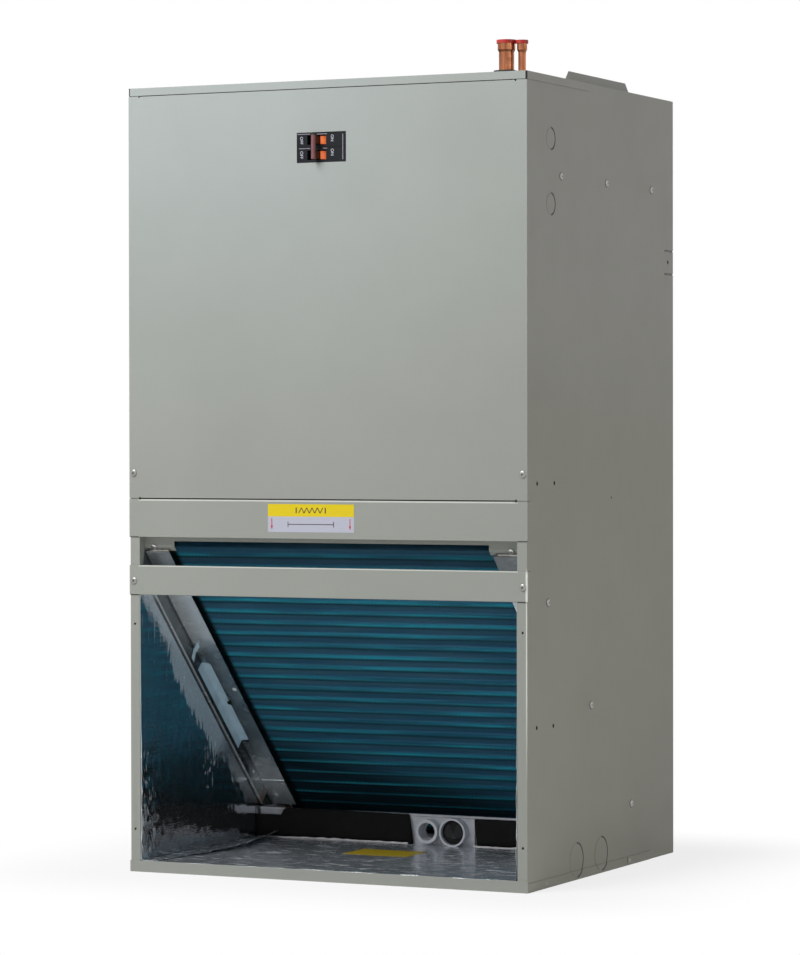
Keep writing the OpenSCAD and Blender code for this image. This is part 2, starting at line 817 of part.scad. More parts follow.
// The drain pan: an open trough across the cabinet, with a rim and two outlets in front
module drain_pan() {
  x = liner_x - 3;
  back = back_liner_y - 0.5;
  color([0.80, 0.81, 0.82]) at_front() difference() {
    union() {
      box([-x, pan_y, floor_z], [x, back, pan_top]);
      box([-x, pan_y - pan_rim, pan_top - pan_rim], [x, pan_y + pan_rim, pan_top]);
    }
    box([-x + pan_t, pan_y + pan_t, pan_floor], [x - pan_t, back - pan_t, pan_top + 1]);
    for (dx = [0, port_gap])
      translate([drain_x + dx, pan_y - 5, drain_z]) rotate([-90, 0, 0])
        cylinder(d = port_bore - 4, h = pan_t + 10);
  }
}

fitting_x0 = drain_x - 30;
fitting_x1 = drain_x + port_gap + 27;

// The drain fitting: one moulded plate with an open port and a plugged port
module drain_fitting() {
  plate_y = pan_y - fitting_t;
  top = pan_top - pan_rim - 0.5;
  color([0.85, 0.86, 0.88]) at_front() difference() {
    union() {
      translate([0, pan_y, 0]) rotate([90, 0, 0]) linear_extrude(fitting_t)
        polygon([[fitting_x0, top], [fitting_x1, top], [fitting_x1, floor_z + 2],
                 [fitting_x1 - 6, floor_z], [fitting_x0 + 14, floor_z], [fitting_x0 + 10, top - 12]]);
      translate([drain_x, plate_y - port_len, drain_z]) rotate([-90, 0, 0])
        cylinder(d = port_d, h = port_len);
      translate([drain_x + port_gap, plate_y - port_len, drain_z]) rotate([-90, 0, 0])
        cylinder(d = plug_port_d, h = port_len);
    }
    translate([drain_x, plate_y - port_len - 1, drain_z]) rotate([-90, 0, 0])
      cylinder(d = port_bore, h = port_len + 10);
    translate([drain_x + port_gap, plate_y - port_len - 1, drain_z]) rotate([-90, 0, 0])
      cylinder(d = plug_port_d - 5, h = port_len - 2);
  }
}

// The foam strips stuck on the pan's front wall, left and right of the drain fitting
module pan_foam() {
  x = liner_x - 0.5;
  over = pan_top + 1.5;
  under = pan_top - 3;
  color(BLACK) at_front() translate([0, pan_y - 2.5, 0]) rotate([90, 0, 0])
    linear_extrude(foam_t) {
      polygon([[-x, floor_z], [-x, under - 6], [-x + 38, under - 6], [-x + 40, over],
               [fitting_x0 - 6, over - 1], [fitting_x0 - 1, under - 10], [fitting_x0 + 4, floor_z]]);
      polygon([[fitting_x1 + 5, floor_z], [fitting_x1 + 1, under], [x, under - 1], [x, floor_z]]);
    }
}

// Points on the scroll at a constant distance outside its inner surface, front cutoff first
function scroll_points(out) = [for (a = [scroll_turn:-10:0])
  [wheel_y + (scroll_r(a) + out) * cos(a), wheel_z - (scroll_r(a) + out) * sin(a)]];

// The outline of the housing: up the rear wall to the deck, and down again to the cutoff
function housing_outline(out) = concat(
  [[outlet_y0 - out, deck_z]], scroll_points(out), [[outlet_y1 + out, deck_z]]);

housing_t = 1.2;

module blower_wrap() {
  flange = 14;
  color(GALV) at_front() union() {
    difference() {
      plate_yz(-housing_w / 2, housing_w, housing_outline(housing_t));
      plate_yz(-housing_w / 2 - 1, housing_w + 2, concat(
        [[outlet_y0, deck_z + 1]], scroll_points(0), [[outlet_y1, deck_z + 1]]));
    }
    box([-housing_w / 2, outlet_y0 - flange, deck_z - housing_t],
        [housing_w / 2, outlet_y0, deck_z]);
    box([-housing_w / 2, outlet_y1, deck_z - housing_t],
        [housing_w / 2, outlet_y1 + flange, deck_z]);
  }
}

inlet_r = 106;

// One side of the housing, with its inlet ring turned inwards
module blower_side() {
  x = housing_w / 2;
  flange = 14;
  difference() {
    union() {
      plate_yz(x, housing_t, housing_outline(housing_t));
      box([x, outlet_y0, deck_z - housing_t], [x + flange, outlet_y1, deck_z]);
    }
    translate([0, wheel_y, wheel_z]) rod_x(x - 1, x + 3, inlet_r);
  }
  translate([x, wheel_y, wheel_z]) rotate([0, -90, 0]) rotate_extrude()
    translate([inlet_r, 0]) difference() {
      circle(r = 10);
      circle(r = 10 - housing_t);
      translate([-20, -20]) square([20, 40]);
      translate([-20, -20]) square([40, 20]);
    }
}

module blower_side_left() {
  color(GALV) at_front() mirrored() blower_side();
}

module blower_side_right() {
  color(GALV) at_front() blower_side();
}

// One forward-curved blade, as points on an arc between the wheel's inner and outer radius
module blade() {
  outer = wheel_d / 2 - 0.6;
  inner = wheel_d / 2 - blade_depth;
  t = 0.9;
  lean = 9;
  steps = 6;
  function at(u, off) = let (r = inner + (outer - inner) * u, a = lean * (u * u - 0.2 * u))
    [r * cos(a) - off * sin(a), r * sin(a) + off * cos(a)];
  polygon(concat([for (i = [0:steps]) at(i / steps, 0)], [for (i = [steps:-1:0]) at(i / steps, t)]));
}

// The double-inlet wheel's cage: forward-curved blades between two end rings
module blower_wheel() {
  r = wheel_d / 2;
  color([0.70, 0.72, 0.74]) at_front() translate([0, wheel_y, wheel_z]) union() {
    for (i = [0:blades - 1])
      translate([-wheel_w / 2, 0, 0]) rotate([0, 90, 0]) rotate([0, 0, i * 360 / blades])
        linear_extrude(wheel_w) blade();
    for (x = [-wheel_w / 2 - 1, wheel_w / 2 - 5])
      difference() {
        rod_x(x, x + 6, r);
        rod_x(x - 1, x + 7, r - 4);
      }
  }
}

// The wheel's centre disc with its hub, inside the cage
module wheel_disc() {
  r = wheel_d / 2 - blade_depth;
  hub_l = 30;
  hub_r = 3 * shaft_r;
  hole_r = 14;
  color([0.70, 0.72, 0.74]) at_front() translate([0, wheel_y, wheel_z]) difference() {
    union() {
      rod_x(hub_x - 1, hub_x + 1, r);
      rod_x(hub_x - hub_l, hub_x + 6, hub_r);
    }
    rod_x(hub_x - hub_l - 1, hub_x + 8, shaft_r + shaft_clear);
    for (i = [0:5])
      rotate([i * 60 + 30, 0, 0]) translate([0, 0, (hub_r + r) / 2]) rod_x(hub_x - 3, hub_x + 3, hole_r);
  }
}

module motor_shaft() {
  color([0.75, 0.75, 0.75]) at_front() translate([0, wheel_y, wheel_z])
    rod_x(hub_x - 34, motor_x + motor_len + 8, shaft_r);
}

// The motor: a drawn shell, two end bells with bearing bosses, and its lead outlet
module blower_motor() {
  color([0.16, 0.16, 0.17]) at_front() translate([0, wheel_y, wheel_z]) difference() {
    union() {
      rod_x(motor_x + 10, motor_x + motor_len - 10, motor_r);
      rod_x(motor_x + 2, motor_x + motor_len - 2, motor_r - 6);
      rod_x(motor_x, motor_x + motor_len, 20);
    }
    rod_x(motor_x - 1, motor_x + motor_len + 1, shaft_r + shaft_clear);
    for (i = [0:7]) rotate([i * 45, 0, 0]) translate([0, 0, motor_r - 22])
      rod_x(motor_x + motor_len - 5, motor_x + motor_len + 1, 6);
  }
}

// The belly band round the motor, with three arms to the housing
module motor_mount() {
  band_x = motor_x + motor_len - 28;
  side = housing_w / 2 + housing_t;
  band_r = motor_r + 0.3;
  color(GALV) at_front() translate([0, wheel_y, wheel_z]) union() {
    difference() {
      rod_x(band_x, band_x + 16, band_r + 1.5);
      rod_x(band_x - 1, band_x + 17, band_r);
    }
    for (i = [0:2]) rotate([i * 120 + 90, 0, 0]) {
      box([band_x, -11, band_r + 0.5], [side + 3, 11, band_r + 3.5]);
      box([side, -11, band_r + 0.5], [side + 3, 11, inlet_r + 22]);
    }
  }
}

plate_half = 105;
tray_t = 1.2;
tray_y = partition_y - tray_t;
tray_x = -plate_half - 10;
tray_mid = (tray_x - liner_x) / 2;

// The control tray left of the heater, on the front of the partition
module control_tray() {
  color(GALV) at_front() union() {
    box([-liner_x, tray_y, deck_z + 2 * sheet], [tray_x, partition_y, cab_h - 8]);
    box([-liner_x, tray_y - 8, deck_z + 2 * sheet], [tray_x, partition_y, deck_z + 2 * sheet + tray_t]);
    box([-liner_x, tray_y - 8, cab_h - 8 - tray_t], [tray_x, partition_y, cab_h - 8]);
  }
}

// The transformer: laminated core, winding bobbin and mounting feet
module transformer() {
  y = tray_y;
  color([0.35, 0.33, 0.30]) at_front() translate([41 - liner_x, y, deck_z + 52]) union() {
    translate([0, -20, 0]) cube([56, 26, 46], center = true);
    translate([0, -21, 0]) cube([34, 42, 40], center = true);
    translate([0, -1, 0]) cube([78, 2, 20], center = true);
  }
}

module fan_relay() {
  color([0.12, 0.12, 0.13]) at_front() translate([tray_x - 19, tray_y, deck_z + 50]) union() {
    translate([0, -17, 0]) cube([34, 34, 40], center = true);
    for (x = [-9, 0, 9]) translate([x, -38, 8]) cube([1, 8, 6.3], center = true);
  }
}

module terminal_block() {
  ways = 6;
  color([0.10, 0.10, 0.11]) at_front() translate([tray_mid, tray_y, deck_z + 96]) difference() {
    translate([0, -9, 0]) cube([ways * 11 + 6, 18, 22], center = true);
    for (i = [0:ways - 1])
      translate([(i - (ways - 1) / 2) * 11, -18, 0]) cube([9, 10, 30], center = true);
  }
}

// The run capacitor on a bracket at the left side of the blower housing
module run_capacitor() {
  side = -housing_w / 2 - housing_t;
  r = 22;
  band = 2;
  color([0.70, 0.71, 0.72]) at_front()
    translate([side - r - band - 1, outlet_y1 - 30, deck_z - 130]) union() {
      cylinder(r = r, h = 90);
      translate([0, 0, 10]) difference() {
        cylinder(r = r + band, h = 14);
        cylinder(r = r, h = 14);
      }
      translate([r - 10, -10, 10]) cube([10 + band + 1, 20, 14]);
    }
}

shelf_t = 1.2;
shelf_half = window_w / 2 + 10;

// The heater's mounting plate with the shelf that carries the breaker
module heater_plate() {
  y = partition_y - shelf_t;
  color(GALV) at_front() union() {
    box([-plate_half, y, deck_z + 2 * sheet], [plate_half, partition_y, cab_h - 4]);
    box([breaker_x - shelf_half, 18, breaker_z - shelf_t], [breaker_x + shelf_half, y, breaker_z]);
    for (x = [breaker_x - shelf_half, breaker_x + shelf_half - shelf_t])
      box([x, 18, breaker_z], [x + shelf_t, partition_y - shelf_t, breaker_z + 14]);
  }
}

frame_y0 = partition_y + 16;
frame_y1 = supply_y + supply_d + 12;
frame_x = 118;

element_step = 2 * (frame_x - 12) / elements;
leg = element_step / 4;
function element_x(i) = -frame_x + 12 + (i + 0.5) * element_step;

// The frame that carries the elements: side plates on feet, a rear bar, and a front bar with a
// hole for each leg
module heater_frame() {
  t = 1.5;
  color(GALV) at_front() difference() {
    union() {
      for (x = [-frame_x - t, frame_x])
        box([x, partition_y + sheet, heater_z - 16], [x + t, frame_y1, heater_z + 16]);
      for (y = [frame_y0, frame_y1 - t])
        box([-frame_x, y, heater_z - 16], [frame_x, y + t, heater_z + 16]);
      for (x = [-frame_x - 14, frame_x])
        box([x, partition_y + 14, deck_z + sheet], [x + 14, frame_y1, deck_z + sheet + t]);
      for (x = [-frame_x - t, frame_x])
        box([x, partition_y + 14, deck_z + sheet], [x + t, frame_y1, heater_z]);
    }
    for (i = [0:elements - 1], side = [-1, 1])
      translate([element_x(i) + side * leg, frame_y0 - 1, heater_z]) rotate([-90, 0, 0])
        cylinder(d = element_d + 1, h = t + 2);
  }
}

// Sheathed hairpin elements: each leaves the partition, turns at the back and returns
module heater_elements() {
  back = frame_y1 - 22;
  color([0.45, 0.40, 0.36]) at_front() for (i = [0:elements - 1])
    translate([element_x(i), 0, heater_z]) {
      for (side = [-1, 1])
        translate([side * leg, partition_y + sheet + 1, 0]) rotate([-90, 0, 0])
          cylinder(d = element_d, h = back - partition_y - sheet - 1);
      translate([0, back, 0]) rotate_extrude(angle = 180) translate([leg, 0])
        circle(d = element_d);
    }
}

pole_h = window_h / 2;
breaker_w = window_w - 1;
handle_x = breaker_x - pivot_x;
slot_half = (pivot_in - breaker_in) * tan(handle_swing) + 6.4;
slot_rise = 6;
drum_r = 9;
flag_r = 12;
flag_start = 18;
flag_turn = 49;
drum_h = 10;

// The two-pole breaker: black body with a step behind the window and a slot for each handle
module breaker_body() {
  color(BLACK) at_front() translate([0, 0, window_z]) difference() {
    union() {
      for (k = [-1, 1]) translate([breaker_x, 0, k * pole_h / 2]) {
        translate([0, breaker_in + breaker_d / 2, 0])
          cube([breaker_w, breaker_d, pole_h - 0.4], center = true);
        translate([0, breaker_in + 12 + (breaker_d - 12) / 2, 0])
          cube([breaker_w + 14, breaker_d - 12, pole_h], center = true);
      }
    }
    for (k = [-1, 1])
      translate([handle_x, 0, k * pole_h / 2])
        box([-slot_half, -5, -slot_rise], [slot_half, pivot_in + flag_r + 1, slot_rise]);
  }
}

// Both handles with the bar that ties them: they turn together about an upright axis
module breaker_handles() {
  color([0.30, 0.16, 0.10]) at_front() translate([handle_x, pivot_in, window_z]) union() {
    for (k = [-1, 1]) translate([0, 0, k * pole_h / 2]) {
      translate([0, 0, -drum_h / 2]) cylinder(r = drum_r, h = drum_h);
      box([-2.4, -handle_r, -drum_h / 2], [2.4, 0, drum_h / 2]);
    }
    translate([0, -handle_r, 4 - pole_h]) cylinder(d = tie_d, h = 2 * pole_h - 5.5);
  }
}

// The bright sector on each handle's drum, seen beside the handle when the breaker has tripped
module breaker_flags() {
  color([0.85, 0.30, 0.08]) at_front() translate([handle_x, pivot_in, window_z])
    for (k = [-1, 1]) translate([0, 0, k * pole_h / 2 - drum_h / 2])
      rotate([0, 0, flag_start - 90]) rotate_extrude(angle = flag_turn)
        translate([drum_r + 0.3, 0]) square([flag_r - drum_r - 0.3, drum_h]);
}

left_side_panel();
right_side_panel();
back_panel();
top_panel();
base_pan();
upper_front_panel();
filter_strip_panel();
filter_retainer_bar();
blower_deck();
plenum_partition();
left_liner();
right_liner();
back_liner();
floor_liner();
coil_front_rail();
left_filter_rail();
right_filter_rail();
coil_fins();
coil_bends();
left_coil_plate();
right_coil_plate();
suction_header();
distributor();
feeder_tubes();
expansion_valve();
suction_line();
liquid_line();
suction_cap();
liquid_cap();
suction_grommet();
liquid_grommet();
drain_pan();
pan_foam();
drain_fitting();
blower_wrap();
blower_side_left();
blower_side_right();
blower_wheel();
wheel_disc();
motor_shaft();
blower_motor();
motor_mount();
run_capacitor();
heater_plate();
heater_frame();
heater_elements();
control_tray();
transformer();
fan_relay();
terminal_block();
breaker_body();
breaker_handles();
breaker_flags();
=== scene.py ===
import json
import math
import random

import bmesh
import bpy
from mathutils import Matrix, Vector, noise


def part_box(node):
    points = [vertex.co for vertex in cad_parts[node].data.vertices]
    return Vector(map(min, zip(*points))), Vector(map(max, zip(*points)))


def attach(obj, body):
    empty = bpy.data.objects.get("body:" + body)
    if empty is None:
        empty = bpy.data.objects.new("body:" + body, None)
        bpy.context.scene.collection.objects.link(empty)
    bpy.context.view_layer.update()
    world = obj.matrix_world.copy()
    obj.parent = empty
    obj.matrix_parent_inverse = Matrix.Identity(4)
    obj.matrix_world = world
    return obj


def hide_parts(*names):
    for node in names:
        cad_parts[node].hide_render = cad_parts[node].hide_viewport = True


bl_info = {
    "name": "Air handler",
    "version": (1, 0, 0),
    "blender": (4, 5, 0),
    "location": "3D View > Sidebar > Air handler",
    "description": "Finishes, facings, fins, fasteners and stage for an upright air handler",
    "category": "Object",
}

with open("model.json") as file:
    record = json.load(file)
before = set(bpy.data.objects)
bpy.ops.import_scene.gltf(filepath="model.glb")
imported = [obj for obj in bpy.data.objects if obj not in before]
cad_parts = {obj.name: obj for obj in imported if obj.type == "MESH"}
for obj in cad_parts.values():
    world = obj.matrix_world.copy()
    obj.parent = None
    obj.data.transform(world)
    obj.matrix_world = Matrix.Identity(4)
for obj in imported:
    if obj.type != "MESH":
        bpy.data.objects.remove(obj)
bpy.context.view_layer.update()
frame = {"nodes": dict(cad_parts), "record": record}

MM = 0.001
ROOT2 = math.sqrt(2)
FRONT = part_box("upper_front_panel")[0].y
SIDES = ((-1, "left"), (1, "right"))


def extent(node, axis):
    """The two ends of a sub-part along an axis in millimetres, y counted from the front face."""
    origin = FRONT if axis == "y" else 0
    return [(getattr(corner, axis) - origin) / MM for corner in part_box(node)]


SIDE_X = extent("right_side_panel", "x")[1]
WALL_X = extent("right_liner", "x")[0]
FOAM_Y = extent("pan_foam", "y")[0]
BACK_Y = extent("back_panel", "y")[1]
CAP_Z = extent("upper_front_panel", "z")[1]
SEAM_Z = extent("upper_front_panel", "z")[0] - 0.4
STRIP_Z = extent("filter_strip_panel", "z")[0]
BAR_Z, SLOPE_TOP_Z = extent("filter_retainer_bar", "z")
FLOOR_Z = extent("floor_liner", "z")[1]

# The cabinet's details in millimetres: on the sides as y and z, on the front and back as x and z
POST_X = 265.5
TIE_TOP_Z = 938.2
SIDE_HOLES = [(32, 502), (86, 502), (30, 201), (82, 200), (473, 792)]
SLIT_START_Y = 460
SIDE_SLITS = (776, 807)
KNOCKOUTS = [(76, 849, 13.5), (76, 930, 13.5), (156.5, 25, 21.5), (237.5, 25, 21.5)]
FRONT_SCREWS = [(x, z) for z in (513.7, 375) for x in (-273, 273)]
SIDE_SCREWS = [(109, 885), (258.5, 885), (413.5, 885), (66, 354), (205, 217.6), (341, 79.6)]
BACK_SCREWS = [(x, z) for x in (-250, 250) for z in (60, 350, 640, 930)]
BASE_SCREWS = [(59, 6), (334, 6)]

# The coil in millimetres: S is a distance down its slope, N a height over the slope
TUBE_ROWS = 3
TUBES_PER_ROW = 26
TUBE_PITCH = 21.4
FIRST_TUBE_S = 7.2
COIL_S0 = FIRST_TUBE_S - TUBE_PITCH / 2
COIL_N0 = 29
COIL_DEPTH = 38.1
FIN_RIPPLE = 0.8
COLLAR_RADIUS = 4.2

# Fasteners on the slope, the right side's, as x, s and n, and the rivet of the rail's web as s and n
TAB_SCREW = (251.5, -6, COIL_N0 - 2)
RAIL_SCREWS = [(250.6, 481.6, 19.5), (233.7, 263.2, 20.5)]
WEB_RIVET = (427, 14)

# The heads' shares of the set diameter, and their finishes where these aren't dull steel
HEAD_SHARES = {"front_screws": 1.15, "side_screws": 1.15, "base_screws": 0.72, "tab_screws": 1.1,
               "rail_screws": 0.75, "web_rivets": 0.6}
HEAD_FINISHES = {"tab_screws": "steel", "rail_screws": "plated", "web_rivets": "plated"}

# Painted light and shade: what the enamel's colour is multiplied by low down and high up
FRONT_PAINTED_LIGHT = ((0.93, 0.92, 0.92), (1.045, 1.09, 1.15))
SIDE_PAINTED_LIGHT = ((0.91, 0.89, 0.81), (1.07, 1.045, 1.04))
# The fins' coat where dust and painted sheen lie
DUST_AND_SHEEN_FIN = (0.15, 0.335, 0.46)
RECORD_SLOTS = [entry["slot"] for entry in frame["record"]["materials"]]


def at(x, y, z):
    """A point from millimetres: x from the middle, y from the front face, z from the ground."""
    return Vector((x * MM, FRONT + y * MM, z * MM))


def on_slope(x, s, n):
    """A point given by its distance s down the slope of the coil and its height n over the slope."""
    return at(x, (s + n) / ROOT2, SLOPE_TOP_Z + (n - s) / ROOT2)


def srgb(red, green, blue):
    """A linear colour from the 0 to 255 values that a screen shows."""
    def linear(level):
        part = level / 255
        return part / 12.92 if part <= 0.04045 else ((part + 0.055) / 1.055) ** 2.4
    return (linear(red), linear(green), linear(blue))


def smooth(value, low, high):
    """A soft step from 0 at low to 1 at high."""
    part = min(max((value - low) / (high - low), 0), 1)
    return part * part * (3 - 2 * part)


def spread(first, last, steps):
    """Evenly spaced values from first to last."""
    return [first + (last - first) * i / steps for i in range(steps + 1)]


def shaded(colour, amount):
    """A colour made darker or lighter by a share."""
    return tuple(part * amount for part in colour)


# Shader sums

class Value:
    """A node's output that Python sums can use: each sum adds its Math node."""

    def __init__(self, tree, socket):
        self.tree = tree
        self.socket = socket

    def sum(self, operation, *terms):
        return self.tree.add("ShaderNodeMath", {"operation": operation}, dict(enumerate(terms)))

    def __add__(self, other):
        return self.sum("ADD", self, other)

    def __radd__(self, other):
        return self.sum("ADD", other, self)

    def __sub__(self, other):
        return self.sum("SUBTRACT", self, other)

    def __rsub__(self, other):
        return self.sum("SUBTRACT", other, self)

    def __mul__(self, other):
        return self.sum("MULTIPLY", self, other)

    def __rmul__(self, other):
        return self.sum("MULTIPLY", other, self)

    def __truediv__(self, other):
        return self.sum("DIVIDE", self, other)

    def __pow__(self, other):
        return self.sum("POWER", self, other)

    def __abs__(self):
        return self.sum("ABSOLUTE", self)

    def fraction(self):
        return self.sum("FRACT", self)

    def over(self, other):
        """The greater of two values."""
        return self.sum("MAXIMUM", self, other)

    def rise(self, low, high):
        """0 below low and 1 above high, with a soft step between them."""
        settings = {"interpolation_type": "SMOOTHSTEP"}
        return self.tree.add("ShaderNodeMapRange", settings, {0: self, 1: low, 2: high})


class Tree:
    """The nodes of a material or a world, and the method that adds a node of any type to them."""

    def __init__(self, owner):
        owner.use_nodes = True
        self.nodes = owner.node_tree.nodes
        self.links = owner.node_tree.links
        self.nodes.clear()

    def add(self, kind, settings, sockets, output=0):
        """Adds a node, sets its settings, then its sockets' values or links, and returns an output."""
        node = self.nodes.new(kind)
        for name, setting in settings.items():
            setattr(node, name, setting)
        for key, value in sockets.items():
            if isinstance(value, Value):
                self.links.new(value.socket, node.inputs[key])
            else:
                node.inputs[key].default_value = value
        return Value(self, node.outputs[output]) if node.outputs else None

    def background_rays(self):
        """1 for the rays that see the background as plain white: straight, mirrored or bent."""
        seen = [self.add("ShaderNodeLightPath", {}, {}, ray) for ray in
                ("Is Camera Ray", "Is Glossy Ray", "Is Transmission Ray")]
        return seen[0].over(seen[1]).over(seen[2])


class Finish(Tree):
    """One material with a principled shader."""

    def __init__(self, name, colour, roughness, metallic=0.0, shine=0.5, **constants):
        self.material = bpy.data.materials.new(name)
        self.material.diffuse_color = (*colour, 1)
        super().__init__(self.material)
        self.shader = self.add("ShaderNodeBsdfPrincipled", {}, {
            "Base Color": (*colour, 1), "Roughness": roughness, "Metallic": metallic,
            "Specular IOR Level": shine,
            **{socket.replace("_", " "): value for socket, value in constants.items()}})
        self.add("ShaderNodeOutputMaterial", {}, {"Surface": self.shader})
        self.place = self.add("ShaderNodeTexCoord", {}, {}, "Object")

    def feed(self, name, value):
        """Links a value that changes over the surface to one of the shader's sockets."""
        self.links.new(value.socket, self.shader.socket.node.inputs[name])

    def surface(self, colour, roughness, height, depth):
        """Feeds colour, roughness and a relief of a depth in millimetres, and returns the material."""
        relief = self.add("ShaderNodeBump", {}, {"Height": height, "Distance": depth * MM})
        self.feed("Base Color", colour)
        self.feed("Roughness", roughness)
        self.feed("Normal", relief)
        return self.material

    def axes(self):
        """The place on the surface as x, y and z values in millimetres, y from the front face."""
        parts = [self.add("ShaderNodeSeparateXYZ", {}, {0: self.place}, i) for i in range(3)]
        return parts[0] / MM, (parts[1] - FRONT) / MM, parts[2] / MM

    def slope_axes(self):
        """The distance down the coil's slope and the height over it, in millimetres."""
        x, y, z = self.axes()
        return (y - (z - SLOPE_TOP_Z)) / ROOT2, (y + z - SLOPE_TOP_Z) / ROOT2

    def grain(self, size, detail=2.0, stretch=(1, 1, 1)):
        """Noise from 0 to 1 in lumps of about size millimetres, drawn out along an axis by stretch."""
        scaled = self.add("ShaderNodeMapping", {}, {0: self.place, 3: [1 / part for part in stretch]})
        return self.add("ShaderNodeTexNoise", {}, {
            "Vector": scaled, "Scale": 1 / (size * MM), "Detail": detail})

    def cells(self, size):
        """A random colour for each cell of about size millimetres."""
        return self.add("ShaderNodeTexVoronoi", {}, {
            "Vector": self.place, "Scale": 1 / (size * MM)}, "Color")

    def mix(self, factor, first, second, blend="MIX"):
        """A colour between two others, or with blend MULTIPLY their product."""
        first, second = [c if isinstance(c, Value) else (*c, 1) for c in (first, second)]
        settings = {"data_type": "RGBA", "blend_type": blend}
        return self.add("ShaderNodeMix", settings, {0: factor, 6: first, 7: second}, 2)


def line(value, middle, half):
    """1 where a value lies within half of the middle, with a soft edge of 0.4."""
    return 1 - abs(value - middle).rise(half - 0.2, half + 0.2)


def distance(*steps):
    """The length of a step along axes that stand square to each other."""
    return sum(step ** 2 for step in steps) ** 0.5


# Finishes

def side_painted_shade(y, z):
    """Painted shade in the sides' small holes and slits, on the knockouts' rear halves and in the
    screws' seats.
    """
    pits = sum(1 - distance(y - hole_y, z - hole_z).rise(2.3, 3.3) for hole_y, hole_z in SIDE_HOLES)
    slits = sum(line(z, slit_z, 1.3) for slit_z in SIDE_SLITS)
    slits = slits * y.rise(SLIT_START_Y, SLIT_START_Y + 1.5)
    seat = bpy.context.scene.fasteners.head / MM * HEAD_SHARES["side_screws"] / 2 + 0.3
    seats = sum(line(distance(y - screw_y, z - screw_z), seat, 0.7) for screw_y, screw_z in SIDE_SCREWS)
    arcs = sum(line(distance(y - arc_y, z - arc_z), radius, 1.3) * y.rise(arc_y - 2, arc_y + 4)
               for arc_y, arc_z, radius in KNOCKOUTS)
    return pits + slits + arcs * 0.9 + seats * 0.7


def enamel(name):
    """Baked enamel on sheet steel: a satin coat with a faint orange peel, with painted shade in its
    seams and cuts, painted highlights on its lips and along the right post's folded edge, and painted
    shade low down."""
    colour = tuple(bpy.context.scene.cabinet_finish.enamel)
    finish = Finish(name, colour, 0.42, shine=0.3)
    x, y, z = finish.axes()
    reach = abs(x)
    front = 1 - y.rise(1.2, 1.5)
    corner = reach.rise(POST_X, POST_X + 1)
    tone = (finish.grain(160, 3) * 0.6 + finish.grain(0.9, 2) * 0.4).rise(0.25, 0.75)
    coat = finish.mix(tone, shaded(colour, 0.955), shaded(colour, 1.045))
    # Painted shade in the open corners at the sides, above the front panel's top
    corner_gap_shade = front * reach.rise(SIDE_X - 1.5, SIDE_X - 1.2) * z.rise(CAP_Z, CAP_Z + 0.5)
    coat = finish.mix(corner_gap_shade * 0.9, coat, (0.01, 0.01, 0.01))
    # Painted light and shade: darker low down, lighter high up; on the front from 430 to 1010, on the
    # sides from 520 to 760
    height = z.rise(430, 1010) * (1 - 0.45 * x.rise(-100, 260))
    front_light = finish.mix(front, (1, 1, 1), finish.mix(height, *FRONT_PAINTED_LIGHT))
    beside = reach.rise(SIDE_X - 1, SIDE_X - 0.7) * y.rise(0.6, 1.0)
    painted_light_tones = finish.mix(beside, front_light, finish.mix(z.rise(520, 760), *SIDE_PAINTED_LIGHT))
    coat = finish.mix(1.0, coat, painted_light_tones, "MULTIPLY")
    # Painted highlights on the lip under the seam and on the bar's top edge
    lips = line(z, SEAM_Z - 1.9, 0.9) + line(z, SLOPE_TOP_Z - 0.7, 0.7)
    coat = finish.mix(front * (1 - corner) * lips * 0.9, coat, shaded(colour, 1.85))
    # Painted shade in the seam, and at the posts along the strip's and the bar's lower edges
    seams = front * (1 - corner) * line(z, SEAM_Z, 0.8)
    seams = seams + front * corner * 0.7 * (line(z, STRIP_Z, 0.8) + line(z, BAR_Z, 0.8))
    # Painted shade in the sides' holes, slits, knockouts and screw seats
    marks = reach.rise(SIDE_X - 1.2, SIDE_X - 0.9) * side_painted_shade(y, z)
    coat = finish.mix((seams + marks).over(0), coat, (0.012, 0.012, 0.012))
    # A painted highlight on the right post's folded edge
    post_highlight = x.rise(SIDE_X - 1.9, SIDE_X - 1.5) * (1 - y.rise(0.9, 1.3))
    post_highlight = post_highlight * z.rise(120, 260) * (1 - z.rise(390, 400))
    coat = finish.mix(post_highlight * 0.9, coat, shaded(colour, 2.3))
    return finish.surface(coat, 0.36 + 0.14 * finish.grain(35, 3), finish.grain(1.6, 2), 0.018)


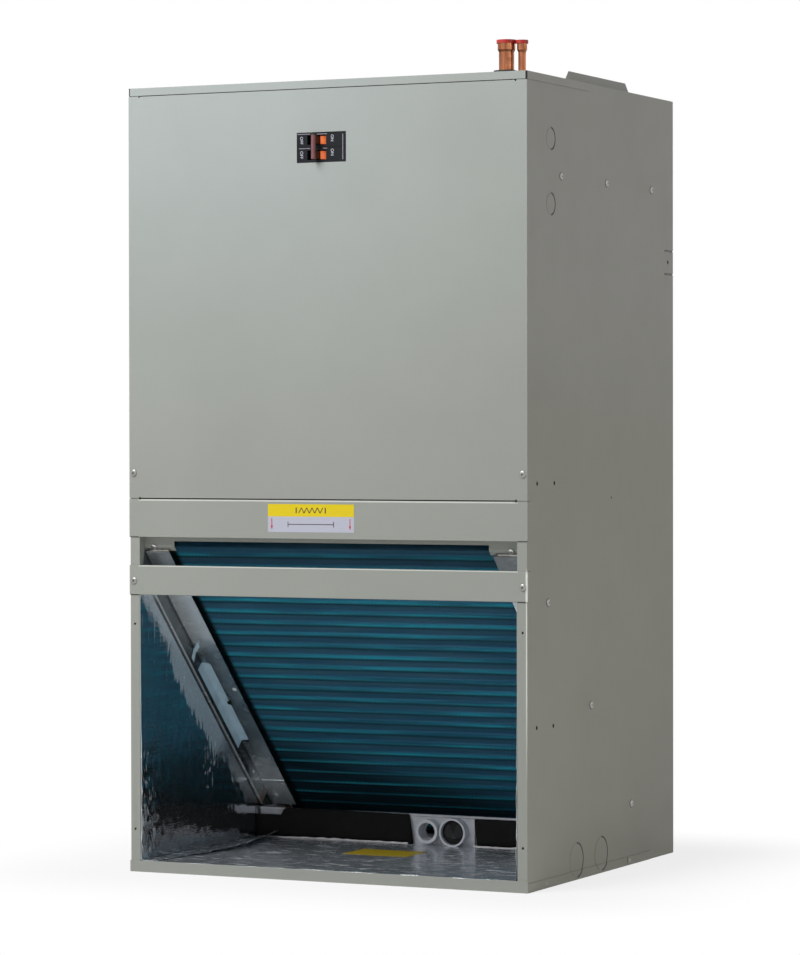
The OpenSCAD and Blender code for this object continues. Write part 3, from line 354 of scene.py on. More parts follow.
def galvanised(name):
    """Zinc-coated sheet under slow changes of tone, darker beside its cut-out, with painted shade at
    the rail's top, in its fold and on the web, a painted highlight on its lip, and a brown stain at the
    left rail's foot."""
    finish = Finish(name, (0.62, 0.65, 0.68), 0.3, metallic=0.82)
    x, y, z = finish.axes()
    s, n = finish.slope_axes()
    drift = s + 40 * finish.grain(45, 2) - 20
    beside = drift.rise(158, 200) * (1 - drift.rise(352, 452))
    shade = finish.add("ShaderNodeSeparateColor", {}, {0: finish.cells(11)})
    tone = 0.85 - 0.72 * beside + 0.07 * shade + 0.3 * (finish.grain(30, 2) - 0.5)
    reach = abs(x)
    # Painted shade on the web against the wall and in the rail's fold
    web = reach.rise(WALL_X - 1.7, WALL_X - 1.3)
    fold = reach.rise(WALL_X - 3.4, WALL_X - 2.7) * (1 - 0.7 * web)
    plain = finish.mix(tone, (0.19, 0.26, 0.30), (0.90, 0.94, 0.96))
    web_shade = web * (0.55 + 0.35 * (1 - n.rise(5, 11)) * s.rise(190, 215))
    zinc_with_shade = finish.mix((web_shade + fold * 0.8) * (1 - 0.6 * s.rise(400, 440)), plain, (0.05, 0.06, 0.065))
    # A painted highlight on the rail's lip
    lip = (1 - n.rise(-0.2, 0.4)) * reach.rise(WALL_X - 3, WALL_X - 2.6)
    zinc_with_shade = finish.mix(lip * 0.8, zinc_with_shade, (0.92, 0.95, 0.98))
    far = distance(x + WALL_X, y - 338, z - 60)
    stain = (1 - (far + 14 * finish.grain(6, 3)).rise(12, 30)) * 0.8
    # Painted shade at the rail's top end
    high = (1 - s.rise(30, 62)) * (0.5 + 0.17 * x.rise(-1, 1))
    zinc_with_shade = finish.mix(high, zinc_with_shade, (0.05, 0.055, 0.065))
    stained = finish.mix(stain, zinc_with_shade, (0.22, 0.11, 0.04))
    finish.feed("Metallic", 0.86 - 0.3 * tone - 0.3 * stain - 0.3 * lip)
    return finish.surface(stained, 0.24 + 0.04 * shade + 0.3 * stain, finish.grain(26, 2), 0.06)


def foil(name, flat=False):
    """Aluminium foil on a blanket: crossed threads press through it, and its creases are scuffed."""
    settings = bpy.context.scene.foil_facing
    finish = Finish(name, (0.72, 0.74, 0.76), 0.1, metallic=1.0)
    x, y, z = finish.axes()
    pitch = settings.scrim_pitch / MM
    threads = 0
    for axis, apart in ((x, 1.0), (y, 1.0)) if flat else ((y, 2.4), (z, 1.0)):
        across = abs(((axis + 2 * finish.grain(30, 2)) / (pitch * apart)).fraction() - 0.5) * apart
        threads = threads + (1 - across.rise(0.03, 0.16))
    strokes = finish.grain(1.5, 3, stretch=(9, 1, 1) if flat else (1, 5, 1))
    lumps = finish.grain(14, 4, stretch=(4, 1, 1) if flat else (1, 1, 2))
    glints = finish.grain(4, 4, stretch=(6, 1, 1) if flat else (1, 1, 3)).rise(0.54, 0.7)
    if flat:
        worn = 0.62 * glints + 0.2
    else:
        # A wall is scuffed in front near the floor and in a patch farther in. A painted reflection of
        # the rail lies along it as a pale, ragged band, with a painted shadow of the rail over it
        front = (1 - y.rise(8, 55)) * (1 - z.rise(60, 230))
        middle = 1 - (((y - 187) / 24) ** 2 + ((z - 122) / 50) ** 2).rise(0.2, 1.0)
        patchy = finish.grain(9, 3).rise(0.42, 0.62)
        s, n = finish.slope_axes()
        ragged = 44 * finish.grain(5, 4, stretch=(1, 1, 5)) - 22 - n - 20 * s.rise(110, 180)
        rail_reflection = (1 - ragged.rise(17, 24)) * (0.75 + 0.5 * strokes)
        rail_reflection = rail_reflection * (0.45 + 0.55 * s.rise(70, 180)) * (1 - s.rise(318, 350))
        shadow = n.rise(-7, -5) * s.rise(40, 70)
        threads = threads * (1 - 0.9 * rail_reflection) * (0.25 + 0.75 * z.rise(70, 150))
        threads = threads * finish.grain(24, 3).rise(0.3, 0.7)
        worn = glints * (0.8 * front + 0.7 * middle + 0.06) + 0.015 + 0.11 * patchy * threads
        worn = (worn + 0.62 * rail_reflection * (1 - x.rise(-1, 1))) * (1 - shadow)
    tint = finish.mix(finish.grain(60, 3), (0.66, 0.69, 0.72), (0.84, 0.86, 0.89))
    if not flat:
        tint = finish.mix(shadow, finish.mix(rail_reflection, tint, (0.74, 0.86, 0.94)), (0.16, 0.18, 0.19))
    # Painted shade: foil farther out than the wall's face is made black
    outer_shade = abs(x).rise(WALL_X + 5, WALL_X + 6)
    tint = finish.mix(threads * 0.3, tint, (0.34, 0.38, 0.42))
    tint = finish.mix(outer_shade, tint, (0.01, 0.01, 0.01))
    finish.feed("Metallic", (1 - worn) * (1 - outer_shade))
    return finish.surface(tint, 0.09 + 0.1 * threads + 0.25 * worn,
                          0.45 * threads + 0.4 * strokes + 0.15 * lumps, 0.22)


def coated_fins(name):
    """Blue-green coat on aluminium fins, with painted highlights where each tube's collars catch the
    light.
    """
    coil = bpy.context.scene.coil_fins
    base = tuple(coil.fin_colour)
    bright = tuple(coil.collar_highlight_colour)
    finish = Finish(name, base, 0.4, metallic=0.2)
    x, y, z = finish.axes()
    s = finish.slope_axes()[0]
    streak = finish.grain(6.5, 4, stretch=(20, 1, 1)).rise(0.32, 0.68)
    wander = finish.grain(26, 2, stretch=(7, 1, 1))
    cloud = finish.grain(70, 3, stretch=(1.6, 1, 1))
    phase = ((s - FIRST_TUBE_S) / TUBE_PITCH + 0.47 + 0.08 * wander).fraction()
    # A painted highlight over each tube's collars
    lit_collars = phase.rise(0.40, 0.68) * (1 - phase.rise(0.78, 0.84))
    # A painted shadow line under each tube
    tube_shadow_line = phase.rise(0.78, 0.86) * (1 - phase.rise(0.90, 0.97))
    between = (1 - phase.rise(0.20, 0.34)) + phase.rise(0.96, 1.0)
    glow = lit_collars * (0.22 + 0.85 * streak) * (0.35 + 1.2 * cloud)
    # Dust and painted sheen: greyer between the tubes, where the fins' sides take the light, in streaks
    # and clouds
    dust_and_sheen = (0.3 + 0.7 * between) * (0.1 + 0.8 * streak) * (0.4 + 1.1 * cloud)
    coat = finish.mix(glow, finish.mix(dust_and_sheen, base, DUST_AND_SHEEN_FIN), bright)
    coat = finish.mix(tube_shadow_line * 0.9, coat, shaded(bright, 0.14))
    # The shade over the pan stands higher at the left, and only thin bright lines reach into it
    lowest = z + 0.255 * x
    thin = phase.rise(0.62, 0.73) * (1 - phase.rise(0.78, 0.84))
    deep = (1 - lowest.rise(62, 118)) * (1 - thin)
    coat = finish.mix(deep * 0.85, coat, shaded(base, 0.12))
    # Painted shade on the fins beside the filter rails
    gap = abs(x).rise(220.5, 228.5)
    # Small light specks high up, partly scratches and partly painted glints
    specks_and_glints = finish.grain(1.6, 2, stretch=(1, 3, 3)).rise(0.74, 0.78) * z.rise(200, 330)
    coat = finish.mix(specks_and_glints * 0.5, coat, (0.6, 0.75, 0.8))
    coat = finish.mix(gap * 0.96, coat, (0.005, 0.008, 0.01))
    return finish.surface(coat, 0.34 + 0.2 * streak, finish.grain(1.2, 2), 0.02)


def copper(name):
    """Drawn copper tube with fine lengthwise streaks and a brown tarnish."""
    finish = Finish(name, (0.40, 0.16, 0.08), 0.3, metallic=1.0)
    streak = finish.grain(4, 3, stretch=(1, 1, 14))
    tarnish = finish.grain(14, 4).rise(0.40, 0.72)
    plain = finish.mix(streak.rise(0.3, 0.7), (0.24, 0.075, 0.035), (0.58, 0.24, 0.12))
    aged = finish.mix(tarnish * 0.6, plain, (0.16, 0.06, 0.03))
    return finish.surface(aged, 0.22 + 0.22 * tarnish, streak, 0.03)


def brass(name):
    """Turned brass, lighter along its rings."""
    finish = Finish(name, (0.66, 0.46, 0.18), 0.32, metallic=1.0)
    turned = finish.grain(1.1, 2, stretch=(12, 12, 1))
    ringed = finish.mix(turned, (0.55, 0.36, 0.13), (0.78, 0.58, 0.26))
    return finish.surface(ringed, 0.25 + 0.2 * finish.grain(9, 3), turned, 0.02)


def bare_steel(name, dark, light, roughness=0.3):
    """Plated or rolled steel between two tones."""
    finish = Finish(name, light, roughness, metallic=1.0)
    rolled = finish.grain(2.5, 4, stretch=(4, 1, 1))
    sheen = roughness - 0.08 + 0.16 * finish.grain(8, 3)
    return finish.surface(finish.mix(rolled, dark, light), sheen, rolled, 0.015)


def moulded(name, colour, roughness, texture=0.8, depth=0.03, shine=0.5):
    """Moulded plastic, rubber or foam: a fine skin texture with slow changes of tone."""
    finish = Finish(name, colour, roughness, shine=shine)
    cloud = finish.grain(18, 3).rise(0.3, 0.7)
    tint = finish.mix(cloud, shaded(colour, 0.9), shaded(colour, 1.08))
    sheen = roughness - 0.06 + 0.12 * finish.grain(6, 3)
    return finish.surface(tint, sheen, finish.grain(texture, 2), depth)


def breaker_handle(name):
    """The breaker's handles: a brown tie bar, with painted shade making the drums and arms behind it
    near-black.
    """
    finish = Finish(name, srgb(120, 74, 76), 0.45)
    x, y, z = finish.axes()
    bar = (1 - y.rise(-5.2, -4.8)) * (1 - z.rise(TIE_TOP_Z, TIE_TOP_Z + 0.3))
    brown = finish.mix(finish.grain(7, 3), srgb(108, 64, 66), srgb(134, 86, 88))
    # Painted shade: the drums and arms behind the tie bar are near-black
    tint = finish.mix(bar, (0.010, 0.008, 0.008), brown)
    return finish.surface(tint, 0.4 + 0.12 * finish.grain(4, 3), finish.grain(0.5, 2), 0.02)


def indicator(name):
    """The orange of the breaker's flags, with a faint painted glow."""
    # Painted light: the flags glow faintly, though they are no lamp
    finish = Finish(name, (1.0, 0.25, 0.055), 0.4, Emission_Color=(1.0, 0.2, 0.07, 1),
                    Emission_Strength=0.45)
    orange = finish.mix(finish.grain(6, 3), (0.92, 0.22, 0.05), (1.0, 0.27, 0.06))
    return finish.surface(orange, 0.34 + 0.12 * finish.grain(4, 3), finish.grain(0.5, 2), 0.02)


def laminated(name):
    """The lacquered laminations of a transformer's core."""
    finish = Finish(name, (0.10, 0.10, 0.11), 0.45, metallic=0.6)
    x, y, z = finish.axes()
    stack = abs((y / 0.9).fraction() - 0.5)
    lacquer = finish.mix(stack * 2, (0.05, 0.05, 0.055), (0.16, 0.16, 0.17))
    return finish.surface(lacquer, 0.4 + 0.15 * finish.grain(5, 3), stack, 0.1)


def printed(name, colour):
    """Ink or film on a label: a faint paper grain under a thin gloss."""
    finish = Finish(name, colour, 0.38)
    grain = finish.grain(0.7, 3)
    ink = finish.mix(grain, shaded(colour, 0.94), shaded(colour, 1.04))
    return finish.surface(ink, 0.3 + 0.16 * finish.grain(7, 2), grain, 0.01)


# How each finish is made: a function, then what it is given after the name
FINISHES = {
    "paint": (enamel,),
    "galvanised": (galvanised,),
    "foil": (foil,),
    "foil_flat": (foil, True),
    "foil_edge": (moulded, (0.78, 0.73, 0.74), 0.35, 3, 0.1),
    "seal_film": (moulded, (0.56, 0.75, 0.86), 0.3, 1.2, 0.03),
    "coated_fins": (coated_fins,),
    "copper": (copper,),
    "brass": (brass,),
    "red_plastic": (moulded, srgb(186, 40, 34), 0.38),
    "plug_black": (moulded, (0.009, 0.009, 0.010), 0.6, 0.6, 0.02, 0.15),
    "plug_rib": (moulded, (0.07, 0.07, 0.075), 0.5, 0.6, 0.02),
    "rubber": (moulded, (0.02, 0.02, 0.021), 0.7, 1.2, 0.05),
    "white_plastic": (moulded, srgb(196, 197, 203), 0.42, 1.5, 0.02),
    "foam": (moulded, (0.011, 0.011, 0.011), 0.92, 0.7, 0.25, 0.1),
    "steel": (bare_steel, (0.42, 0.42, 0.42), (0.68, 0.68, 0.67)),
    "dull_steel": (bare_steel, (0.2, 0.2, 0.19), (0.42, 0.42, 0.4), 0.34),
    # Painted shade in the screws' cross recesses
    "screw_recess_shade": (bare_steel, (0.03, 0.03, 0.03), (0.07, 0.07, 0.07), 0.5),
    "plated": (moulded, (0.85, 0.87, 0.88), 0.3, 0.6, 0.02),
    "motor_black": (moulded, (0.018, 0.018, 0.02), 0.45, 1.0, 0.04),
    "element_sheath": (bare_steel, (0.16, 0.14, 0.13), (0.34, 0.31, 0.29), 0.45),
    "core_steel": (laminated,),
    "black_plastic": (moulded, (0.013, 0.015, 0.018), 0.55, 0.6, 0.05, 0.14),
    "brown_plastic": (breaker_handle,),
    "orange_plastic": (indicator,),
    "ridge_grey": (moulded, srgb(150, 146, 158), 0.4, 0.5, 0.02),
    "label_yellow": (printed, srgb(238, 212, 12)),
    "label_white": (printed, srgb(196, 198, 214)),
    "label_red": (printed, srgb(196, 30, 40)),
    "label_ink": (printed, srgb(60, 52, 40)),
    "mark_white": (printed, srgb(214, 212, 226)),
    "sticker_yellow": (printed, srgb(176, 150, 30)),
}


def finish_for(slot):
    """The material of a finish, made when it is first asked for."""
    name = "finish_" + slot
    maker, *values = FINISHES[slot]
    return bpy.data.materials.get(name) or maker(name, *values)


# Meshes

def outward_mesh(name, points, faces):
    """A mesh whose faces all look outwards."""
    mesh = bpy.data.meshes.new(name)
    mesh.from_pydata([tuple(p) for p in points], [], faces)
    work = bmesh.new()
    work.from_mesh(mesh)
    bmesh.ops.recalc_face_normals(work, faces=work.faces)
    work.to_mesh(mesh)
    work.free()
    return mesh


def place_object(name, data):
    """Adds an object with the given mesh, lamp or other data to the scene."""
    item = bpy.data.objects.new(name, data)
    bpy.context.scene.collection.objects.link(item)
    return item


def add_piece(name, points, faces, slots, body="cabinet", slot=None, face_slots=None, smooth=True):
    """Makes a mesh piece, gives it its finishes and sets it on its body."""
    mesh = outward_mesh(name, points, faces)
    for material in slots:
        mesh.materials.append(finish_for(material))
    if face_slots:
        mesh.polygons.foreach_set("material_index", face_slots)
    mesh.polygons.foreach_set("use_smooth", [smooth] * len(mesh.polygons))
    piece = place_object(name, mesh)
    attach(piece, body)
    (slot or slots[0]) in RECORD_SLOTS
    return piece


def grid_faces(rows, columns, wrap=False):
    """The quads of a grid of points listed row by row; wrap joins the last column to the first."""
    spans = columns if wrap else columns - 1
    return [(r * columns + c, r * columns + (c + 1) % columns,
             (r + 1) * columns + (c + 1) % columns, (r + 1) * columns + c)
            for r in range(rows - 1) for c in range(spans)]


class Build:
    """Points and faces of many small solids that go into one piece."""

    def __init__(self):
        self.points = []
        self.faces = []
        self.face_slots = []

    def add(self, points, faces, slot=0):
        """Takes in a solid whose faces count its own points from 0."""
        start = len(self.points)
        self.points += [Vector(p) for p in points]
        self.faces += [tuple(start + i for i in face) for face in faces]
        self.face_slots += [slot] * len(faces)

    def tube(self, rings, slot=0):
        """Closes a list of rings of equal size into a solid."""
        sides = len(rings[0])
        last = (len(rings) - 1) * sides
        faces = grid_faces(len(rings), sides, wrap=True)
        faces += [tuple(range(sides)), tuple(range(last, last + sides))]
        self.add([p for ring in rings for p in ring], faces, slot)

    def plate(self, outline, near, far, slot=0):
        """A flat solid from an outline in x and z, from the depth near to the depth far."""
        self.tube([[at(x, y, z) for x, z in outline] for y in (near, far)], slot)

    def bar(self, x0, x1, z0, z1, near, far, slot=0):
        """A flat solid with square corners."""
        self.plate([(x0, z0), (x1, z0), (x1, z1), (x0, z1)], near, far, slot)

    def piece(self, name, slots, smooth=True, **more):
        """Makes one piece of everything that was added."""
        return add_piece(name, self.points, self.faces, slots, face_slots=self.face_slots,
                         smooth=smooth, **more)


def sheet_piece(name, rows, finish, thickness, slot=None):
    """A thin sheet through rows of points, thickened evenly to both sides."""
    points = [point for row in rows for point in row]
    piece = add_piece(name, points, grid_faces(len(rows), len(rows[0])), [finish], slot=slot)
    thicken = piece.modifiers.new("gauge", "SOLIDIFY")
    thicken.thickness = thickness * MM
    thicken.offset = 0
    return piece


def ring(centre, radius, sides, first, second):
    """Points on a circle in the plane of two directions."""
    turns = [2 * math.pi * i / sides for i in range(sides)]
    return [centre + radius * (math.cos(a) * first + math.sin(a) * second) for a in turns]


X = Vector((1, 0, 0))
Y = Vector((0, 1, 0))
Z = Vector((0, 0, 1))
DOWN_SLOPE = (Y - Z).normalized()
OUT_OF_SLOPE = (Y + Z).normalized()


# Settings

class CabinetFinish(bpy.types.PropertyGroup):
    """The cabinet's paint and edges"""
    enamel: bpy.props.FloatVectorProperty(
        name="Enamel", description="Colour of the painted sheet", subtype="COLOR", size=3,
        default=(0.400, 0.420, 0.385), min=0, max=1)
    edge_radius: bpy.props.FloatProperty(
        name="Edge radius", description="Rounding of the painted sheet's folded edges",
        default=0.8 * MM, min=0, max=1 * MM, subtype="DISTANCE", unit="LENGTH", precision=4)


class FoilFacing(bpy.types.PropertyGroup):
    """The foil facing of the return air space"""
    scrim_pitch: bpy.props.FloatProperty(
        name="Scrim pitch", description="Distance between the level threads under the foil",
        default=6.5 * MM, min=3 * MM, max=15 * MM, subtype="DISTANCE", unit="LENGTH", precision=4)
    wrinkle: bpy.props.FloatProperty(
        name="Wrinkles", description="Greatest height of a wrinkle in the foil",
        default=2 * MM, min=0, max=4 * MM, subtype="DISTANCE", unit="LENGTH", precision=4)
    cell: bpy.props.FloatProperty(
        name="Mesh step", description="Distance between the points of the foil's mesh",
        default=3 * MM, min=1.5 * MM, max=10 * MM, subtype="DISTANCE", unit="LENGTH", precision=4)


class CoilFins(bpy.types.PropertyGroup):
    """The fins and collared tubes of the coil"""
    fin_pitch: bpy.props.FloatProperty(
        name="Fin pitch", description="Distance between fins",
        default=2.0 * MM, min=1.4 * MM, max=4 * MM, subtype="DISTANCE", unit="LENGTH", precision=4)
    fin_gauge: bpy.props.FloatProperty(
        name="Fin gauge", description="Thickness of a fin with its coat",
        default=0.3 * MM, min=0.1 * MM, max=0.5 * MM, subtype="DISTANCE", unit="LENGTH", precision=5)
    fin_colour: bpy.props.FloatVectorProperty(
        name="Fin coat", description="Colour of the coat on the fins", subtype="COLOR", size=3,
        default=(0.066, 0.255, 0.41), min=0, max=1)
    # The colour of the painted highlight over the tubes' collars
    collar_highlight_colour: bpy.props.FloatVectorProperty(
        name="Collars", description="Colour of the coat over the tubes' collars", subtype="COLOR",
        size=3, default=(0.085, 0.75, 0.90), min=0, max=1)


class Fasteners(bpy.types.PropertyGroup):
    """The screws of the cabinet"""
    head: bpy.props.FloatProperty(
        name="Head", description="Diameter of a screw's head",
        default=8 * MM, min=5 * MM, max=12 * MM, subtype="DISTANCE", unit="LENGTH", precision=4)


class StageLight(bpy.types.PropertyGroup):
    """Lamps, floor and camera"""
    key_power: bpy.props.FloatProperty(
        name="Key", description="Power of the large lamp in front", default=60, min=0, unit="POWER")
    fill_power: bpy.props.FloatProperty(
        name="Fill", description="Power of the weak lamp at the right", default=10, min=0, unit="POWER")
    ambient: bpy.props.FloatProperty(
        name="Ambient", description="Brightness of the surrounding light", default=0.15, min=0, max=1)


# Pieces

class AIRHANDLER_OT_finish_nodes(bpy.types.Operator):
    """Give every sub-part its finish and round the painted edges"""
    bl_idname = "airhandler.finish_nodes"
    bl_label = "Finish sub-parts"

    def execute(self, context):
        radius = context.scene.cabinet_finish.edge_radius
        for entry in frame["record"]["subparts"]:
            node = frame["nodes"][entry["node"]]
            node.data.materials.clear()
            node.data.materials.append(finish_for(entry["material_slot"]))
            if entry["material_slot"] == "paint":
                weld = node.modifiers.new("seams", "WELD")
                weld.merge_threshold = 0.01 * MM
                edge = node.modifiers.new("edges", "BEVEL")
                edge.width = radius
                edge.segments = 2
                edge.limit_method = "ANGLE"
                edge.angle_limit = math.radians(50)
                edge.harden_normals = True
        return {"FINISHED"}


def floor_height(x, y):
    """How far the floor's foil stands over its blanket, in millimetres."""
    long_waves = noise.fractal(Vector((x / 95, y / 22, 3.1)), 1.0, 2.0, 4)
    creases = noise.ridged_multi_fractal(Vector((x / 52, y / 13, 7.7)), 1.0, 2.0, 3, 1.0, 2.0)
    return 0.5 + 0.35 * long_waves + 0.28 * creases


def wall_height(y, z, depth, seed):
    """How far a wall's foil stands off its blanket, most of it low down and near the front."""
    low = 1 - smooth(z, 40, 260)
    front = 1 - smooth(y, 10, 75)
    middle = math.exp(-((y - 125) / 32) ** 2 - ((z - 165) / 55) ** 2)
    rail = smooth((SLOPE_TOP_Z - z - y) / ROOT2, 2, 30)
    calm = 1 - smooth(y, 285, 318)
    folds = noise.ridged_multi_fractal(Vector((y / 26, z / 70, seed)), 0.9, 2.1, 4, 1.0, 2.0)
    ripples = noise.fractal(Vector((y / 12, z / 22, seed + 5)), 1.0, 2.0, 3)
    amount = (0.16 + 1.2 * low * front + 0.5 * middle + 0.2 * low) * rail * calm
    return 0.35 + max(0.0, amount * depth * (0.35 * folds + 0.5 * ripples))


class AIRHANDLER_OT_foil_facing(bpy.types.Operator):
    """Lay wrinkled foil on the walls and the floor of the return air space"""
    bl_idname = "airhandler.foil_facing"
    bl_label = "Foil facing"

    def execute(self, context):
        settings = context.scene.foil_facing
        step = settings.cell / MM
        depth = settings.wrinkle / MM
        near = 1.5
        back = FOAM_Y - 1.5
        top = SLOPE_TOP_Z - 4
        along = round(back / step)
        for side, word in SIDES:
            rows = []
            for r in range(round((top - FLOOR_Z) / step) + 1):
                z = FLOOR_Z + 0.3 + r * step
                ys = spread(near, min(back, SLOPE_TOP_Z - z - 1.5), along)
                xs = [side * (WALL_X - wall_height(y, z, depth, 11 + side)) for y in ys]
                rows.append([at(x, y, z) for x, y in zip(xs, ys)])
            sheet_piece(f"foil_{word}_wall", rows, "foil", 0.2)
        wide = WALL_X - 2.2
        xs = spread(-wide, wide, round(2 * wide / step))
        ys = spread(near, back, along)
        floor = [[at(x, y, FLOOR_Z + floor_height(x, y)) for x in xs] for y in ys]
        sheet_piece("foil_floor", floor, "foil_flat", 0.2, "foil")
        self.lay_flap(ys, back)
        self.lay_lip(back)
        return {"FINISHED"}

    def lay_lip(self, back):
        """The floor foil's cut edge turns up along the foot of the foam."""
        fitting = extent("drain_fitting", "x")
        for word, x0, x1 in (("left", -253, fitting[0] - 1), ("right", fitting[1] + 1, 250)):
            rows = []
            for x in spread(x0, x1, round((x1 - x0) / 3)):
                rise = 1.3 + 1.5 * abs(noise.fractal(Vector((x / 22, 3, 8)), 1.0, 2.0, 3))
                foot = FLOOR_Z + floor_height(x, back) + 0.3
                rows.append([at(x, back - 2.4 + 1.9 * k, foot + rise * k) for k in (0, 0.4, 0.8, 1.0)])
            sheet_piece(f"foil_lip_{word}", rows, "foil_edge", 0.3, "foil")

    def lay_flap(self, ys, back):
        """The left wall's foil runs out over the floor in a flap with a torn edge."""
        rows = []
        for y in ys:
            ragged = 5 * noise.fractal(Vector((y / 18, 0.4, 2.2)), 1.0, 2.0, 4)
            edge = 26 + 30 * smooth(y, 30, 170) - 22 * smooth(y, 190, back) + ragged
            row = []
            for out in spread(1.5, edge, 16):
                x = -WALL_X + out
                curl = 1.6 * smooth(out, edge - 6, edge) * (0.5 + noise.noise(Vector((y / 14, 9, 1))))
                curl += 6.5 * smooth(y, 60, 200) * smooth(out, edge - 20, edge)
                lump = 1.1 * abs(noise.fractal(Vector((x / 14, y / 22, 5)), 1.0, 2.0, 3))
                row.append(at(x, y, FLOOR_Z + floor_height(x, y) + 0.45 + lump + max(curl, 0)))
            rows.append(row)
        sheet_piece("foil_flap", rows, "foil_flat", 0.25, "foil")


class AIRHANDLER_OT_seal_strips(bpy.types.Operator):
    """Lay the foil-faced seals that close the gap beside the coil behind each filter rail"""
    bl_idname = "airhandler.seal_strips"
    bl_label = "Seal strips"

    def execute(self, context):
        for side, word in SIDES:
            self.lay_seal(side, word)
            self.lay_tab(side, word)
            self.close_gap(side, word)
        return {"FINISHED"}

    def lay_seal(self, side, word):
        """The seal runs up the wall behind the rail's cut-out, then across to the coil's end plate."""
        top, foot, step = 212.2, 371.8, 3.1
        inner = max(abs(end) for end in extent(f"{word}_coil_plate", "x")) + 0.4
        profile = [(WALL_X - 0.3, 8.3 + 1.5 * c) for c in range(9)]
        profile += [(WALL_X - 0.9, 22), (WALL_X - 2.2, 23.4)]
        profile += [(x, 24) for x in spread(WALL_X - 4, inner, 6)]
        rows = []
        for s in spread(top, foot, round((foot - top) / step)):
            row = []
            for x, n in profile:
                swell = 0.7 * noise.fractal(Vector((x / 11, s / 26, 3 + side)), 1.0, 2.0, 3)
                row.append(on_slope(side * x, s, n + (swell if n > 22 else 0)))
            rows.append(row)
        sheet_piece(f"foil_seal_{word}", rows, "seal_film", 0.25, "foil")

    def lay_tab(self, side, word):
        """The film's folded end laps from the web on to the plate above the cut-out, under a clip."""
        fold = WALL_X - 1.6
        path = [(fold, 191, 7), (fold, 186, 19), (fold - 1.2, 185, 19.3), (WALL_X - 12.5, 173, 19.3)]
        rows = [[on_slope(side * x, s + across, n) for across in (-4.5, 0, 4.5)] for x, s, n in path]
        sheet_piece(f"film_lap_{word}", rows, "seal_film", 0.25, "foil")
        outline = ((-2, -4), (3, -2.5), (4.2, 0), (3, 2.5), (-2, 4))
        clip = Build()
        clip.tube([[on_slope(side * (WALL_X - 14.5 + dx), 290.6 + ds, n) for dx, ds in outline]
                   for n in (19.2, 20.4)])
        clip.piece(f"film_clip_{word}", ["plug_black"], smooth=False, slot="steel")

    def close_gap(self, side, word):
        """A thin film closes the gap between the coil plate's tab and the rail's top."""
        inner, outer = 229.5, 262.5
        profile = ((-2.8, 26.7), (-1.8, 25), (-1.6, 23), (-2.2, 21.4))
        rows = [[on_slope(side * x, s, n) for x in spread(inner, outer, 8)] for s, n in profile]
        sheet_piece(f"film_closure_{word}", rows, "dull_steel", 0.2, "foil")


class AIRHANDLER_OT_port_plug(bpy.types.Operator):
    """Press the ribbed plug into the second drain port"""
    bl_idname = "airhandler.port_plug"
    bl_label = "Port plug"

    def execute(self, context):
        x, z, radius, back, face = 33.5, 32.8, 16.2, 322.8, 317.5
        ribbed, lean_angle, rib_pitch = 12.6, 27, 2.3
        profile = [(radius, back), (radius, face), (radius - 0.8, face - 1), (radius - 2, face - 1),
                   (radius - 2.4, face)]
        section = ((-0.24, -0.3), (0.24, -0.3), (0.24, 0.9), (-0.24, 0.9))
        plug = Build()
        plug.tube([ring(at(x, y, z), r * MM, 40, X, Z) for r, y in profile])
        for lean in (-1, 1):
            turn = math.radians(lean * lean_angle)
            along = X * math.sin(turn) + Z * math.cos(turn)
            across = X * math.cos(turn) - Z * math.sin(turn)
            for k in range(6):
                off = lean * (1.6 + rib_pitch * k)
                reach = max(ribbed ** 2 - off ** 2, 1) ** 0.5
                low = max(-reach, -9 + 1.8 * k)
                if reach - low < 2:
                    continue
                ends = [at(x, face, z) + (across * off + along * t) * MM for t in (low, reach)]
                plug.tube([[end + (across * wide - Y * tall) * MM for wide, tall in section]
                           for end in ends], 1)
        plug.piece("port_plug", ["plug_black", "plug_rib"], smooth=False, slot="black_plastic")
        return {"FINISHED"}


class AIRHANDLER_OT_fin_stack(bpy.types.Operator):
    """Stand the fins of the coil over its collared tubes"""
    bl_idname = "airhandler.fin_stack"
    bl_label = "Coil fins"

    def execute(self, context):
        settings = context.scene.coil_fins
        left, right = extent("coil_fins", "x")
        gauge = settings.fin_gauge / MM
        count = round((right - left - gauge) / (settings.fin_pitch / MM))
        rings = 4 * TUBES_PER_ROW + 1
        fins = Build()
        random.seed(4)
        for i in range(count + 1):
            x = left + gauge / 2 + (right - left - gauge) * i / count
            lean = random.uniform(-0.12, 0.12) if 0 < i < count else 0
            loop = []
            for r in range(rings):
                s = COIL_S0 + TUBES_PER_ROW * TUBE_PITCH * r / (rings - 1)
                ripple = 0.5 * (1 + math.cos(2 * math.pi * (s - FIRST_TUBE_S) / TUBE_PITCH))
                near = COIL_N0 + FIN_RIPPLE * ripple
                far = COIL_N0 + COIL_DEPTH - FIN_RIPPLE * ripple
                loop.append([on_slope(x + lean + dx, s, n) for dx, n in (
                    (-gauge / 2, near), (gauge / 2, near), (gauge / 2, far), (-gauge / 2, far))])
            fins.tube(loop)
        pack = fins.piece("fin_stack", ["coated_fins"], smooth=False)
        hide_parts("coil_fins")
        collars = Build()
        for row in range(TUBE_ROWS):
            n = COIL_N0 + COIL_DEPTH / TUBE_ROWS * (row + 0.5)
            for k in range(TUBES_PER_ROW):
                s = FIRST_TUBE_S + TUBE_PITCH * k
                ends = [on_slope(x, s, n) for x in (left + 0.2, right - 0.2)]
                collars.tube([ring(end, COLLAR_RADIUS * MM, 12, DOWN_SLOPE, OUT_OF_SLOPE)
                              for end in ends])
        tubes = collars.piece("tube_collars", ["coated_fins"])
        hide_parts("coil_fins")
        return {"FINISHED"}


